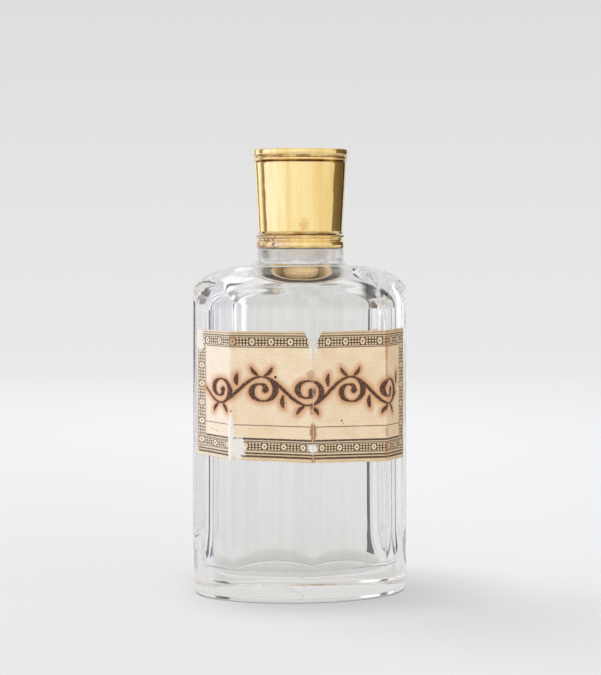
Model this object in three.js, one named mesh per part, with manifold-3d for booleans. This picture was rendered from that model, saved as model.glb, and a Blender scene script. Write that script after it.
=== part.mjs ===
// A toilet-water flacon from a travelling shaving case: a flattened, eight-sided cut-glass bottle,
// a ground stopper, and a gilt cap that slides over a gilt collar cemented to the neck.
// Millimetres, +Z up. The origin is the middle of the foot, and the front faces -Y.
import * as THREE from 'three';
import { mergeVertices } from 'three/addons/utils/BufferGeometryUtils.js';
import Module from 'manifold-3d';

const manifoldLibrary = await Module();
manifoldLibrary.setup();

// ---- driving dimensions ----

const TOTAL_HEIGHT = 108;
const LATHE_STEPS = 48;
const SEAM_GAP = 0.15;
const CUT_OVERSHOOT = 1;

// Glass body: an oval blank with eight flat faces cut on it, a little narrower at the top.
const FACES = 8;
const STEPS_PER_FACE = 6;
const BODY_HALF_WIDTH = 26.7;
const BODY_HALF_DEPTH = 18.4;
const BODY_TAPER = 0.3;
const BLANK_MARGIN = 0.15;
const FOOT_INSET = 1.4;
const FOOT_RISE = 1.6;
const SHOULDER_TOP = 79.9;
const SHOULDER_TOP_RADIUS = 12.65;
const SIDE_SHOULDER = { start: 72.6, power: 2 };
const FRONT_SHOULDER = { start: 69.4, power: 1.4 };
const NECK_RADIUS = 10.5;
const NECK_FILLET_RISE = 1.9;
const NECK_LEDGE = 83.85;
const SHANK_RADIUS = 7.4;
const LIP_HEIGHT = 99.4;
const LIP_ROUNDING = 0.6;

// Hollow of the glass.
const FLOOR_THICKNESS = 4.7;
const END_WALL = 5.4;
const FRONT_WALL = 4.5;
const HOLLOW_ROUNDNESS = 0.45;
const FLOOR_CORNER = { run: 6, rise: 3.5 };
const DOME = { start: 67, rise: 8, power: 3, neckRise: 3, neckSpread: 12 };
const BORE_START = DOME.start + DOME.rise + DOME.neckRise;
const BORE_BOTTOM_RADIUS = 4.6;
const BORE_TOP_RADIUS = 5.2;

// Stopper.
const PLUG_BOTTOM = 85.5;
const PLUG_CLEARANCE = 0.2;
const PLUG_CHAMFER = 0.5;
const STOPPER_NECK_RADIUS = 4.4;
const STOPPER_HEAD_RADIUS = 7.6;
const STOPPER_HEAD_BOTTOM = 99.7;
const STOPPER_HEAD_TOP = 103.3;
const STOPPER_HEAD_ROUNDING = 0.7;

// Collar: cement, sleeve and moulded band.
const COLLAR_BOTTOM = 84.0;
const CEMENT_OUTER = 8.15;
const CEMENT_TOP = 97.3;
const SLEEVE_INNER = 8.3;
const SLEEVE_OUTER = 8.8;
const SLEEVE_TOP = 98.6;
const BAND_OUTER = 10.76;
const BAND_WAIST = 10.28;
const BAND_TOP = 87.35;
const BAND_TOP_TORUS = 0.85;
const BAND_FOOT_TORUS = 1.9;

// Cap.
const CAP_BOTTOM = 87.55;
const SHELL_TOP = 104.95;
const SHELL_BOTTOM_OUTER = 10.29;
const SHELL_TOP_OUTER = 11.25;
const SHELL_WALL = 0.6;
const LINING_INNER = 9.05;
const LINING_OUTER = 9.5;
const LINING_BOTTOM = 87.75;
const LINING_TOP = 106.3;
const LIP_RING_BOTTOM = 105.1;
const LIP_RING_INNER = 10.45;
const LIP_RING_OUTER = 11.64;
const LIP_BEAD_RADIUS = 0.32;
const LIP_BEAD_HEIGHT = 105.65;
const LIP_GROOVE_HEIGHT = 106.2;
const LIP_GROOVE_OUTER = 11.2;
const LIP_EDGE_ROUNDING = 0.35;
const TOP_PLATE_THICKNESS = 1.3;
const TOP_PLATE_CROWN = 0.25;
const CORK_RADIUS = 8.75;
const CORK_BOTTOM = 103.6;
const CORK_TOP = 106.2;

// Label: one sheet round the four front faces, torn in two at the front corner.
const LABEL_BOTTOM = 33.5;
const LABEL_TOP = 64.5;
const LABEL_THICKNESS = 0.2;
const LABEL_SIDE_WIDTH = 12;
const TEAR_HALF_GAP = 0.2;
const NOTCH_HALF_WIDTH = 2;
const NOTCH_DEPTH = 4.6;

// ---- materials ----

const glass = (name) => new THREE.MeshStandardMaterial({
  name, color: 0xe6ebe8, roughness: 0.05, metalness: 0, transparent: true, opacity: 0.35,
});
const gilt = (name) => new THREE.MeshStandardMaterial({
  name, color: 0xd9ae4a, roughness: 0.18, metalness: 1,
});
const paper = (name) => new THREE.MeshStandardMaterial({
  name, color: 0xe8d3ac, roughness: 0.85, metalness: 0,
});
const plaster = (name) => new THREE.MeshStandardMaterial({
  name, color: 0xd8d2c4, roughness: 0.9, metalness: 0,
});
const cork = (name) => new THREE.MeshStandardMaterial({
  name, color: 0xa9794a, roughness: 0.95, metalness: 0,
});

// ---- curves shared by the profiles ----

// Points of a quarter ellipse, from its first axis end to its second, in [across, up] pairs.
function quarterArc(centre, across, up, steps) {
  const points = [];
  for (let step = 0; step <= steps; step += 1) {
    const angle = (step / steps) * (Math.PI / 2);
    points.push([centre[0] + across * Math.cos(angle), centre[1] + up * Math.sin(angle)]);
  }
  return points;
}

// Points of a half round bead on a vertical wall, from its foot to its top.
function beadArc(wallRadius, bulge, bottom, top, steps) {
  const points = [];
  for (let step = 0; step <= steps; step += 1) {
    const angle = (step / steps) * Math.PI;
    const height = bottom + (top - bottom) * (0.5 - 0.5 * Math.cos(angle));
    points.push([wallRadius + bulge * Math.sin(angle), height]);
  }
  return points;
}

function turned(profile, steps = LATHE_STEPS) {
  const points = profile.map(([radius, height]) => new THREE.Vector2(radius, height));
  const geometry = new THREE.LatheGeometry(points, steps);
  geometry.rotateX(Math.PI / 2);
  return geometry;
}

function ring(profile) {
  return turned([...profile, profile[0]]);
}

function tube(inner, outer, bottom, top) {
  return ring([[inner, bottom], [outer, bottom], [outer, top], [inner, top]]);
}

function piece(name, geometry, material) {
  const mesh = new THREE.Mesh(geometry, material(name));
  mesh.name = name;
  return mesh;
}

// ---- booleans ----

function toManifold(geometry) {
  const bare = geometry.clone();
  bare.deleteAttribute('normal');
  bare.deleteAttribute('uv');
  const merged = mergeVertices(bare, 1e-4);
  return new manifoldLibrary.Manifold(new manifoldLibrary.Mesh({
    numProp: 3,
    vertProperties: new Float32Array(merged.attributes.position.array),
    triVerts: new Uint32Array(merged.index.array),
  }));
}

function fromManifold(solid) {
  const mesh = solid.getMesh();
  const geometry = new THREE.BufferGeometry();
  geometry.setAttribute('position', new THREE.BufferAttribute(mesh.vertProperties, 3));
  geometry.setIndex(new THREE.BufferAttribute(mesh.triVerts, 1));
  geometry.computeVertexNormals();
  return geometry;
}

// ---- glass body ----

// One corner of the eight-sided plan. Corner 0 is at the front.
function planCorner(index, halfWidth, halfDepth) {
  const angle = (index / FACES) * Math.PI * 2;
  return new THREE.Vector2(halfWidth * Math.sin(angle), -halfDepth * Math.cos(angle));
}

// One level of the glass: an eight-sided outline, drawn part of the way to an oval.
function outline({ halfWidth, halfDepth, height, roundness }) {
  const points = [];
  for (let step = 0; step < FACES * STEPS_PER_FACE; step += 1) {
    const face = Math.floor(step / STEPS_PER_FACE);
    const along = (step % STEPS_PER_FACE) / STEPS_PER_FACE;
    const start = planCorner(face, halfWidth, halfDepth);
    const end = planCorner(face + 1, halfWidth, halfDepth);
    const flat = start.lerp(end, along);
    const oval = planCorner(face + along, halfWidth, halfDepth);
    const point = flat.lerp(oval, roundness);
    points.push(new THREE.Vector3(point.x, point.y, height));
  }
  return points;
}

// A level whose outline has gone part of the way from the body's plan to a circle.
function towardsCircle(body, radius, share, height) {
  return {
    halfWidth: THREE.MathUtils.lerp(body.halfWidth, radius, share),
    halfDepth: THREE.MathUtils.lerp(body.halfDepth, radius, share),
    roundness: THREE.MathUtils.lerp(body.roundness, 1, share),
    height,
  };
}

function circleLevel(radius, height) {
  return { halfWidth: radius, halfDepth: radius, height, roundness: 1 };
}

// Closed skin through a stack of levels. Both ends are closed by a fan to their middle.
function lofted(levels) {
  const rings = levels.map(outline);
  const ringSize = rings[0].length;
  const vertices = rings.flat();
  const indices = [];
  for (let level = 0; level + 1 < rings.length; level += 1) {
    for (let step = 0; step < ringSize; step += 1) {
      const next = (step + 1) % ringSize;
      const here = level * ringSize;
      const above = here + ringSize;
      indices.push(here + step, here + next, above + next);
      indices.push(here + step, above + next, above + step);
    }
  }
  const firstMiddle = vertices.push(new THREE.Vector3(0, 0, levels[0].height)) - 1;
  const lastMiddle = vertices.push(new THREE.Vector3(0, 0, levels.at(-1).height)) - 1;
  const lastRing = (rings.length - 1) * ringSize;
  for (let step = 0; step < ringSize; step += 1) {
    const next = (step + 1) % ringSize;
    indices.push(firstMiddle, next, step);
    indices.push(lastMiddle, lastRing + step, lastRing + next);
  }
  const geometry = new THREE.BufferGeometry().setFromPoints(vertices);
  geometry.setIndex(indices);
  geometry.computeVertexNormals();
  return geometry;
}

// The body's half width and depth at a height, a set distance out from its corners.
function bodyPlan(height, margin, roundness) {
  const taper = BODY_TAPER * (height / SHOULDER_TOP);
  return {
    halfWidth: BODY_HALF_WIDTH - taper + margin,
    halfDepth: BODY_HALF_DEPTH - taper + margin,
    roundness,
    height,
  };
}

// Half of the blank's width or depth in the shoulder, which falls from the wall to a circle at its top.
// A power of 2 is a quarter ellipse, and a lower one is closer to a straight slope.
function shoulderHalf(wallHalf, { start, power }, height) {
  const climbed = THREE.MathUtils.clamp((height - start) / (SHOULDER_TOP - start), 0, 1);
  const left = (1 - climbed ** power) ** (1 / power);
  return THREE.MathUtils.lerp(SHOULDER_TOP_RADIUS, wallHalf, left);
}

// The blown blank: an oval body with a rounded foot and shoulder, a round neck and a stepped shank.
function blankLevels() {
  const levels = [];
  for (const [inset, height] of quarterArc([FOOT_INSET, FOOT_RISE], -FOOT_INSET, -FOOT_RISE, 4).reverse()) {
    levels.push(bodyPlan(height, BLANK_MARGIN - inset, 1));
  }
  const shoulderSteps = 11;
  for (let step = 0; step <= shoulderSteps; step += 1) {
    const climb = Math.sin((step / shoulderSteps) * (Math.PI / 2));
    const height = THREE.MathUtils.lerp(FRONT_SHOULDER.start, SHOULDER_TOP, climb);
    const wall = bodyPlan(height, BLANK_MARGIN, 1);
    levels.push({
      halfWidth: shoulderHalf(wall.halfWidth, SIDE_SHOULDER, height),
      halfDepth: shoulderHalf(wall.halfDepth, FRONT_SHOULDER, height),
      roundness: 1,
      height,
    });
  }
  const filletRun = SHOULDER_TOP_RADIUS - NECK_RADIUS;
  const fillet = quarterArc(
    [SHOULDER_TOP_RADIUS, SHOULDER_TOP + NECK_FILLET_RISE], -filletRun, -NECK_FILLET_RISE, 3,
  ).reverse().slice(1);
  for (const [radius, height] of fillet) {
    levels.push(circleLevel(radius, height));
  }
  levels.push(circleLevel(NECK_RADIUS, NECK_LEDGE));
  levels.push(circleLevel(SHANK_RADIUS, NECK_LEDGE));
  levels.push(circleLevel(SHANK_RADIUS, LIP_HEIGHT - LIP_ROUNDING));
  levels.push(circleLevel(SHANK_RADIUS - LIP_ROUNDING, LIP_HEIGHT));
  return levels;
}

// The eight cut faces: a tapered prism that the blank is ground down to.
function flatsLevels() {
  return [bodyPlan(-CUT_OVERSHOOT, 0, 0), bodyPlan(LIP_HEIGHT + CUT_OVERSHOOT, 0, 0)];
}

// The ground socket for the stopper widens evenly upwards.
function boreRadiusAt(height) {
  return THREE.MathUtils.mapLinear(
    height, BORE_START, LIP_HEIGHT, BORE_BOTTOM_RADIUS, BORE_TOP_RADIUS,
  );
}

// The roof of the hollow at a distance from the axis: a flat dome that sweeps up into the bore.
function domeHeight(reach, wall) {
  const share = (reach - BORE_BOTTOM_RADIUS) / (wall - BORE_BOTTOM_RADIUS);
  const roof = DOME.start + DOME.rise * (1 - share ** DOME.power) ** (1 / DOME.power);
  return roof + DOME.neckRise * Math.exp((BORE_BOTTOM_RADIUS - reach) / DOME.neckSpread);
}

function hollowLevels() {
  const hollow = {
    halfWidth: BODY_HALF_WIDTH - END_WALL,
    halfDepth: BODY_HALF_DEPTH - FRONT_WALL,
    roundness: HOLLOW_ROUNDNESS,
  };
  const levels = [
    circleLevel(boreRadiusAt(LIP_HEIGHT + CUT_OVERSHOOT), LIP_HEIGHT + CUT_OVERSHOOT),
    circleLevel(BORE_BOTTOM_RADIUS, BORE_START),
  ];
  const domeSteps = 10;
  for (let step = 1; step <= domeSteps; step += 1) {
    const out = Math.sin((step / domeSteps) * (Math.PI / 2));
    const width = THREE.MathUtils.lerp(BORE_BOTTOM_RADIUS, hollow.halfWidth, out);
    levels.push(towardsCircle(hollow, BORE_BOTTOM_RADIUS, 1 - out, domeHeight(width, hollow.halfWidth)));
  }
  const floorCorner = quarterArc(
    [FLOOR_CORNER.run, FLOOR_THICKNESS + FLOOR_CORNER.rise], -FLOOR_CORNER.run, -FLOOR_CORNER.rise, 5,
  );
  for (const [inset, height] of floorCorner) {
    levels.push({
      halfWidth: hollow.halfWidth - inset,
      halfDepth: hollow.halfDepth - inset,
      roundness: THREE.MathUtils.lerp(HOLLOW_ROUNDNESS, 1, inset / FLOOR_CORNER.run),
      height,
    });
  }
  return levels.reverse();
}

function makeBottle() {
  const blank = toManifold(lofted(blankLevels()));
  const flats = toManifold(lofted(flatsLevels()));
  const hollow = toManifold(lofted(hollowLevels()));
  return piece('glass_bottle', fromManifold(blank.intersect(flats).subtract(hollow)), glass);
}

// ---- stopper ----

function makeStopper() {
  const plugBottom = boreRadiusAt(PLUG_BOTTOM) - PLUG_CLEARANCE;
  const plugTop = boreRadiusAt(LIP_HEIGHT) - PLUG_CLEARANCE;
  const edge = STOPPER_HEAD_ROUNDING;
  const headEdge = [
    ...quarterArc([STOPPER_HEAD_RADIUS - edge, STOPPER_HEAD_BOTTOM + edge], edge, -edge, 3).reverse(),
    ...quarterArc([STOPPER_HEAD_RADIUS - edge, STOPPER_HEAD_TOP - edge], edge, edge, 3),
  ];
  return piece('glass_stopper', turned([
    [0, PLUG_BOTTOM],
    [plugBottom - PLUG_CHAMFER, PLUG_BOTTOM],
    [plugBottom, PLUG_BOTTOM + PLUG_CHAMFER],
    [plugTop, LIP_HEIGHT - PLUG_CHAMFER],
    [STOPPER_NECK_RADIUS, STOPPER_HEAD_BOTTOM],
    ...headEdge,
    [0, STOPPER_HEAD_TOP],
  ]), glass);
}

// ---- collar ----

function makeCement() {
  const inner = SHANK_RADIUS + SEAM_GAP;
  return piece('collar_cement', tube(inner, CEMENT_OUTER, COLLAR_BOTTOM, CEMENT_TOP), plaster);
}

function makeSleeve() {
  return piece('collar_sleeve', tube(SLEEVE_INNER, SLEEVE_OUTER, COLLAR_BOTTOM, SLEEVE_TOP), gilt);
}

// Moulded band: a tall half round at the foot and a fine one at the top, with a waist between them.
function makeBand() {
  const inner = SLEEVE_OUTER + SEAM_GAP;
  const bulge = BAND_OUTER - BAND_WAIST;
  const footTorus = beadArc(BAND_WAIST, bulge, COLLAR_BOTTOM, COLLAR_BOTTOM + BAND_FOOT_TORUS, 4);
  const topTorus = beadArc(BAND_WAIST, bulge, BAND_TOP - BAND_TOP_TORUS, BAND_TOP, 4);
  return piece('collar_moulding', ring([
    [inner, COLLAR_BOTTOM], ...footTorus, ...topTorus, [inner, BAND_TOP],
  ]), gilt);
}

// ---- cap ----

function makeShell() {
  return piece('cap_shell', ring([
    [SHELL_BOTTOM_OUTER - SHELL_WALL, CAP_BOTTOM],
    [SHELL_BOTTOM_OUTER, CAP_BOTTOM],
    [SHELL_TOP_OUTER, SHELL_TOP],
    [SHELL_TOP_OUTER - SHELL_WALL, SHELL_TOP],
  ]), gilt);
}

function makeLining() {
  return piece('cap_lining', tube(LINING_INNER, LINING_OUTER, LINING_BOTTOM, LINING_TOP), gilt);
}

// Ring round the cap's top: a bead, a fine groove, then a plain lip with a soft edge.
function makeLipMoulding() {
  const edge = LIP_EDGE_ROUNDING;
  const bead = beadArc(
    SHELL_TOP_OUTER, LIP_BEAD_RADIUS, LIP_BEAD_HEIGHT - LIP_BEAD_RADIUS, LIP_BEAD_HEIGHT + LIP_BEAD_RADIUS, 4,
  );
  const lipEdge = quarterArc([LIP_RING_OUTER - edge, TOTAL_HEIGHT - edge], edge, edge, 3);
  return piece('cap_lip_moulding', ring([
    [LIP_RING_INNER, LIP_RING_BOTTOM],
    [SHELL_TOP_OUTER, LIP_RING_BOTTOM],
    ...bead,
    [LIP_GROOVE_OUTER, LIP_GROOVE_HEIGHT],
    [LIP_RING_OUTER, LIP_GROOVE_HEIGHT + LIP_RING_OUTER - LIP_GROOVE_OUTER],
    ...lipEdge,
    [LIP_RING_INNER, TOTAL_HEIGHT],
  ]), gilt);
}

// Disc set into the lip ring, with a slightly crowned rim so that its middle is a real flat.
function makeTopPlate() {
  const radius = LIP_RING_INNER - SEAM_GAP;
  return piece('cap_top_plate', turned([
    [0, TOTAL_HEIGHT - TOP_PLATE_THICKNESS],
    [radius, TOTAL_HEIGHT - TOP_PLATE_THICKNESS],
    [radius, TOTAL_HEIGHT - TOP_PLATE_CROWN],
    [radius - TOP_PLATE_CROWN, TOTAL_HEIGHT],
    [0, TOTAL_HEIGHT],
  ]), gilt);
}

function makeCork() {
  return piece('cork_pad', turned([
    [0, CORK_BOTTOM], [CORK_RADIUS, CORK_BOTTOM], [CORK_RADIUS, CORK_TOP], [0, CORK_TOP],
  ]), cork);
}

// ---- label ----

// Two straight runs parallel to a front face and its neighbour, a set distance out from the glass.
// side is 1 for the right half and -1 for the left half.
function labelLine(side, distance) {
  const front = planCorner(0, BODY_HALF_WIDTH, BODY_HALF_DEPTH);
  const bend = planCorner(1, BODY_HALF_WIDTH, BODY_HALF_DEPTH);
  const back = planCorner(2, BODY_HALF_WIDTH, BODY_HALF_DEPTH);
  const frontRun = bend.clone().sub(front).normalize();
  const sideRun = back.clone().sub(bend).normalize();
  const frontOut = new THREE.Vector2(frontRun.y, -frontRun.x);
  const sideOut = new THREE.Vector2(sideRun.y, -sideRun.x);
  const halfTurn = frontOut.angleTo(sideOut) / 2;
  const bendOut = frontOut.clone().add(sideOut).normalize();
  const points = [
    front.addScaledVector(frontOut, distance).addScaledVector(frontRun, TEAR_HALF_GAP),
    bend.clone().addScaledVector(bendOut, distance / Math.cos(halfTurn)),
    bend.clone().addScaledVector(sideOut, distance).addScaledVector(sideRun, LABEL_SIDE_WIDTH),
  ];
  return points.map((point) => new THREE.Vector2(side * point.x, point.y));
}

// The wedge of paper that is missing at the top of the tear.
function notchCutter() {
  const cutterTop = LABEL_TOP + CUT_OVERSHOOT;
  const cutterHalfWidth = NOTCH_HALF_WIDTH * ((NOTCH_DEPTH + CUT_OVERSHOOT) / NOTCH_DEPTH);
  const shape = new THREE.Shape([
    new THREE.Vector2(0, LABEL_TOP - NOTCH_DEPTH),
    new THREE.Vector2(cutterHalfWidth, cutterTop),
    new THREE.Vector2(-cutterHalfWidth, cutterTop),
  ]);
  const geometry = new THREE.ExtrudeGeometry(shape, { depth: BODY_HALF_DEPTH * 2, bevelEnabled: false });
  geometry.rotateX(Math.PI / 2);
  return toManifold(geometry);
}

function makeLabelHalf(name, side) {
  const inner = labelLine(side, SEAM_GAP);
  const outer = labelLine(side, SEAM_GAP + LABEL_THICKNESS);
  const strip = new THREE.ExtrudeGeometry(
    new THREE.Shape([...inner, ...outer.reverse()]),
    { depth: LABEL_TOP - LABEL_BOTTOM, bevelEnabled: false },
  );
  strip.translate(0, 0, LABEL_BOTTOM);
  return piece(name, fromManifold(toManifold(strip).subtract(notchCutter())), paper);
}

// ---- assembly ----

const flacon = new THREE.Group();
flacon.name = 'flacon';
flacon.add(makeBottle(), makeCement(), makeSleeve(), makeBand());
flacon.add(makeLabelHalf('label_left', -1), makeLabelHalf('label_right', 1));
flacon.add(makeStopper(), makeCork());
flacon.add(makeShell(), makeLining(), makeLipMoulding(), makeTopPlate());

export default flacon;
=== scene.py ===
import functools
import math

import bpy
import numpy as np
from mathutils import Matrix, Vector


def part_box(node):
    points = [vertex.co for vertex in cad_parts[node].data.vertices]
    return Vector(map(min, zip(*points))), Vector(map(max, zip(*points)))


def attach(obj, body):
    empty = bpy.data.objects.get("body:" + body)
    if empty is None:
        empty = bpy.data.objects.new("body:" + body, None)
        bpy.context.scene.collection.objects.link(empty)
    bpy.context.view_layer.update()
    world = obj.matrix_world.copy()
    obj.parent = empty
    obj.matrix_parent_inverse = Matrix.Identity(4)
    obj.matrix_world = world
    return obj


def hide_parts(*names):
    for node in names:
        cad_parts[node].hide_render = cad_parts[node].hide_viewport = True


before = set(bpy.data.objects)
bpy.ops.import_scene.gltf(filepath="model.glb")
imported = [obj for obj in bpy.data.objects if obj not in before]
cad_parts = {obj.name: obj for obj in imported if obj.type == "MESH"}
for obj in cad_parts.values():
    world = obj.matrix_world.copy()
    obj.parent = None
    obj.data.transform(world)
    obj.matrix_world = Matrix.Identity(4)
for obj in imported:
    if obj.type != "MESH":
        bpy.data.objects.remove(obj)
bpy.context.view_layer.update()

# A toilet-water flacon: cut glass, gilt collar and slip-on cap, ground stopper, torn paper label.
# Metres, +Z up, the front faces -Y. MM turns the millimetres below into metres.

MM = 0.001
RANDOM_SEED = 7

# ---- the glass's sizes, in millimetres ----
# The outer ones are the frame's. The rest are those of the CAD solid, apart from the oval foot, the soft cut
# edges, and the hollow's shift, roundness and soft corners.

BODY_HALF_WIDTH, BODY_HALF_DEPTH, LIP_HEIGHT = np.array(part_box("glass_bottle")[1]) / MM
FACES = 8
BODY_TAPER = 0.3
BLANK_MARGIN = 0.15
FOOT_INSET = 1.4
FOOT_RISE = 1.6
FOOT_OVAL_INSET = 0.4
FOOT_BLEND = (5.0, 17.0)
FRONT_SHOULDER_START = 69.4
FRONT_SHOULDER_POWER = 1.4
SIDE_SHOULDER_START = 72.6
SIDE_SHOULDER_POWER = 2.0
SHOULDER_TOP = 79.9
SHOULDER_TOP_RADIUS = 12.65
NECK_RADIUS = 10.5
NECK_FILLET_RISE = 1.9
NECK_LEDGE = 83.85
SHANK_RADIUS = 7.4
LEDGE_ROUNDING = 0.25
CUT_EDGE_SOFTNESS = 0.012
END_WALL = 5.4
FRONT_WALL = 4.5
HOLLOW_SHIFT = -0.4
HOLLOW_ROUNDNESS = 0.35
HOLLOW_SOFTNESS = 0.36
HOLLOW_FLOOR_BLEND = 4.0
FLOOR_THICKNESS = 4.7
FLOOR_CORNER = (6.0, 3.5)
DOME_START = 67.0
DOME_RISE = 8.0
DOME_POWER = 3.0
DOME_NECK_RISE = 3.0
DOME_NECK_SPREAD = 12.0
BORE_START = DOME_START + DOME_RISE + DOME_NECK_RISE
BORE_BOTTOM_RADIUS = 4.6
BORE_TOP_RADIUS = 5.2

# How finely the glass is drawn: rows of vertices up each stretch of it.
FOOT_ROWS = 22
WALL_ROWS = 14
SHOULDER_ROWS = 56
DOME_ROWS = 60
HOLLOW_WALL_ROWS = 24
BORE_ROWS = 8

# Fractions of a face where the glass has a column of vertices: close together near the cut edges.
FACE_COLUMNS = (0, 0.006, 0.014, 0.026, 0.045, 0.08, 0.15, 0.27, 0.42, 0.58, 0.73, 0.85, 0.92, 0.955, 0.974,
                0.986, 0.994)

# ---- camera ----

CAMERA_AZIMUTH = math.radians(-9.3)
CAMERA_DISTANCE = 0.4806
CAMERA_HEIGHT = 0.0897
CAMERA_TILT = math.radians(3.27)
CAMERA_LENS = 105

TOWARDS_CAMERA = Vector((math.sin(CAMERA_AZIMUTH), -math.cos(CAMERA_AZIMUTH), 0))
CAMERA_RIGHT = Vector((math.cos(CAMERA_AZIMUTH), math.sin(CAMERA_AZIMUTH), 0))


def add_object(name, data):
    obj = bpy.data.objects.new(name, data)
    bpy.context.scene.collection.objects.link(obj)
    return obj


def add_camera():
    data = bpy.data.cameras.new("camera")
    data.lens = CAMERA_LENS
    data.clip_start = 0.01
    camera = add_object("camera", data)
    camera.location = TOWARDS_CAMERA * CAMERA_DISTANCE + Vector((0, 0, CAMERA_HEIGHT))
    camera.rotation_euler = (math.pi / 2 - CAMERA_TILT, 0, CAMERA_AZIMUTH)
    bpy.context.scene.camera = camera


# ---- node graphs ----

class Graph:
    """Short calls for building a node tree. A value may be a number, a colour or another node's output."""

    def __init__(self, tree):
        self.tree = tree
        tree.nodes.clear()

    def put(self, socket, value):
        if isinstance(value, bpy.types.NodeSocket):
            self.tree.links.new(value, socket)
        elif isinstance(value, (tuple, list)) and len(value) == 3 and len(socket.default_value) == 4:
            socket.default_value = (*value, 1)
        else:
            socket.default_value = value

    def node(self, kind, *values, output=0, settings=None, **inputs):
        """A new node's output. values go to its sockets in order, and inputs to the sockets they name."""
        node = self.tree.nodes.new(kind)
        for name, value in (settings or {}).items():
            setattr(node, name, value)
        for socket, value in zip(node.inputs, values):
            self.put(socket, value)
        for name, value in inputs.items():
            self.put(node.inputs[name.replace("_", " ")], value)
        return node.outputs[output]

    def math(self, operation, *values):
        return self.node("ShaderNodeMath", *values, settings={"operation": operation})

    def add(self, first, second):
        return self.math("ADD", first, second)

    def subtract(self, first, second):
        return self.math("SUBTRACT", first, second)

    def times(self, first, second):
        return self.math("MULTIPLY", first, second)

    def least(self, *values):
        return functools.reduce(lambda first, second: self.math("MINIMUM", first, second), values)

    def most(self, *values):
        return functools.reduce(lambda first, second: self.math("MAXIMUM", first, second), values)

    def inverse(self, value):
        return self.subtract(1.0, value)

    def fade(self, value, start, end):
        """0 where value is at start, 1 where it is at end, and smooth between them."""
        return self.node(
            "ShaderNodeMapRange", settings={"interpolation_type": "SMOOTHSTEP"},
            Value=value, From_Min=start, From_Max=end,
        )

    def climb(self, value, start, end):
        """0 where value is at start, 1 where it is at end, and even between them."""
        return self.node("ShaderNodeMapRange", Value=value, From_Min=start, From_Max=end)

    def band(self, value, low, high, softness):
        """1 where value is between low and high, with soft ends."""
        rise = self.fade(value, low - softness, low + softness)
        fall = self.fade(value, high + softness, high - softness)
        return self.times(rise, fall)

    def scale(self, value, low, high):
        """Turns a value from 0 to 1 into one from low to high."""
        return self.node("ShaderNodeMapRange", Value=value, To_Min=low, To_Max=high)

    def mix(self, share, first, second):
        """A mix of two colours."""
        node = self.tree.nodes.new("ShaderNodeMix")
        node.data_type = "RGBA"
        for number, value in ((0, share), (6, first), (7, second)):
            self.put(node.inputs[number], value)
        return node.outputs[2]

    def paint(self, colour, tint, share, strength=1.0):
        """The colour with a tint laid over it where share, from 0 to 1, says."""
        return self.mix(self.times(share, strength) if strength < 1 else share, colour, tint)

    def blend(self, share, first, second):
        """A mix of two shaders."""
        return self.node("ShaderNodeMixShader", share, first, second)

    def split(self, vector):
        node = self.tree.nodes.new("ShaderNodeSeparateXYZ")
        self.put(node.inputs[0], vector)
        return tuple(node.outputs)

    def join(self, x, y, z=0.0):
        return self.node("ShaderNodeCombineXYZ", x, y, z)

    def stretch(self, vector, factors):
        return self.node("ShaderNodeVectorMath", vector, factors, settings={"operation": "MULTIPLY"})

    def measure(self, operation, *vectors):
        """A number worked out from vectors."""
        return self.node("ShaderNodeVectorMath", *vectors, output="Value", settings={"operation": operation})

    def distance(self, vector, point):
        return self.measure("DISTANCE", vector, point)

    def length(self, x, y):
        return self.measure("LENGTH", self.join(x, y))

    def noise(self, vector, scale, detail, roughness=0.5, distortion=0.0):
        """Soft noise. Three scales stretch it along the axes."""
        if isinstance(scale, tuple):
            vector, scale = self.stretch(vector, scale), 1.0
        return self.node(
            "ShaderNodeTexNoise",
            Vector=vector, Scale=scale, Detail=detail, Roughness=roughness, Distortion=distortion,
        )

    def bump(self, height, strength, distance):
        return self.node("ShaderNodeBump", Height=height, Strength=strength, Distance=distance)

    def place(self):
        """The point's place on the object, in millimetres, so that patterns have their real size."""
        return self.stretch(self.node("ShaderNodeTexCoord", output="Object"), (1 / MM, 1 / MM, 1 / MM))

    def attribute(self, name):
        return self.node("ShaderNodeAttribute", output="Vector", settings={"attribute_name": name})

    def principled(self, **inputs):
        return self.node("ShaderNodeBsdfPrincipled", **inputs)

    def light_through(self, glass, shadow):
        """The glass as it is seen, and plain tinted air to the light that falls on what is behind it."""
        rays = self.tree.nodes.new("ShaderNodeLightPath").outputs
        lighting = self.most(rays["Is Shadow Ray"], rays["Is Diffuse Ray"])
        return self.blend(lighting, glass, self.node("ShaderNodeBsdfTransparent", Color=(shadow,) * 3))

    def surface(self, shader, kind="ShaderNodeOutputMaterial"):
        output = self.tree.nodes.new(kind)
        self.tree.links.new(shader, output.inputs["Surface"])


def new_material(name):
    material = bpy.data.materials.new(name)
    material.use_nodes = True
    return material, Graph(material.node_tree)


# ---- meshes ----

def new_object(name, vertices, faces, material):
    """A smooth-shaded mesh object from vertices in millimetres."""
    mesh = bpy.data.meshes.new(name)
    mesh.from_pydata((np.asarray(vertices) * MM).tolist(), [], faces)
    mesh.validate()
    mesh.shade_smooth()
    mesh.materials.append(material)
    return add_object(name, mesh)


def grid_faces(rows, columns, wrap):
    """Quads between neighbouring rows of points. wrap joins the last column to the first."""
    faces = []
    for row in range(rows - 1):
        for column in range(columns if wrap else columns - 1):
            after = (column + 1) % columns
            faces.append((
                row * columns + column,
                row * columns + after,
                (row + 1) * columns + after,
                (row + 1) * columns + column,
            ))
    return faces


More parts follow.
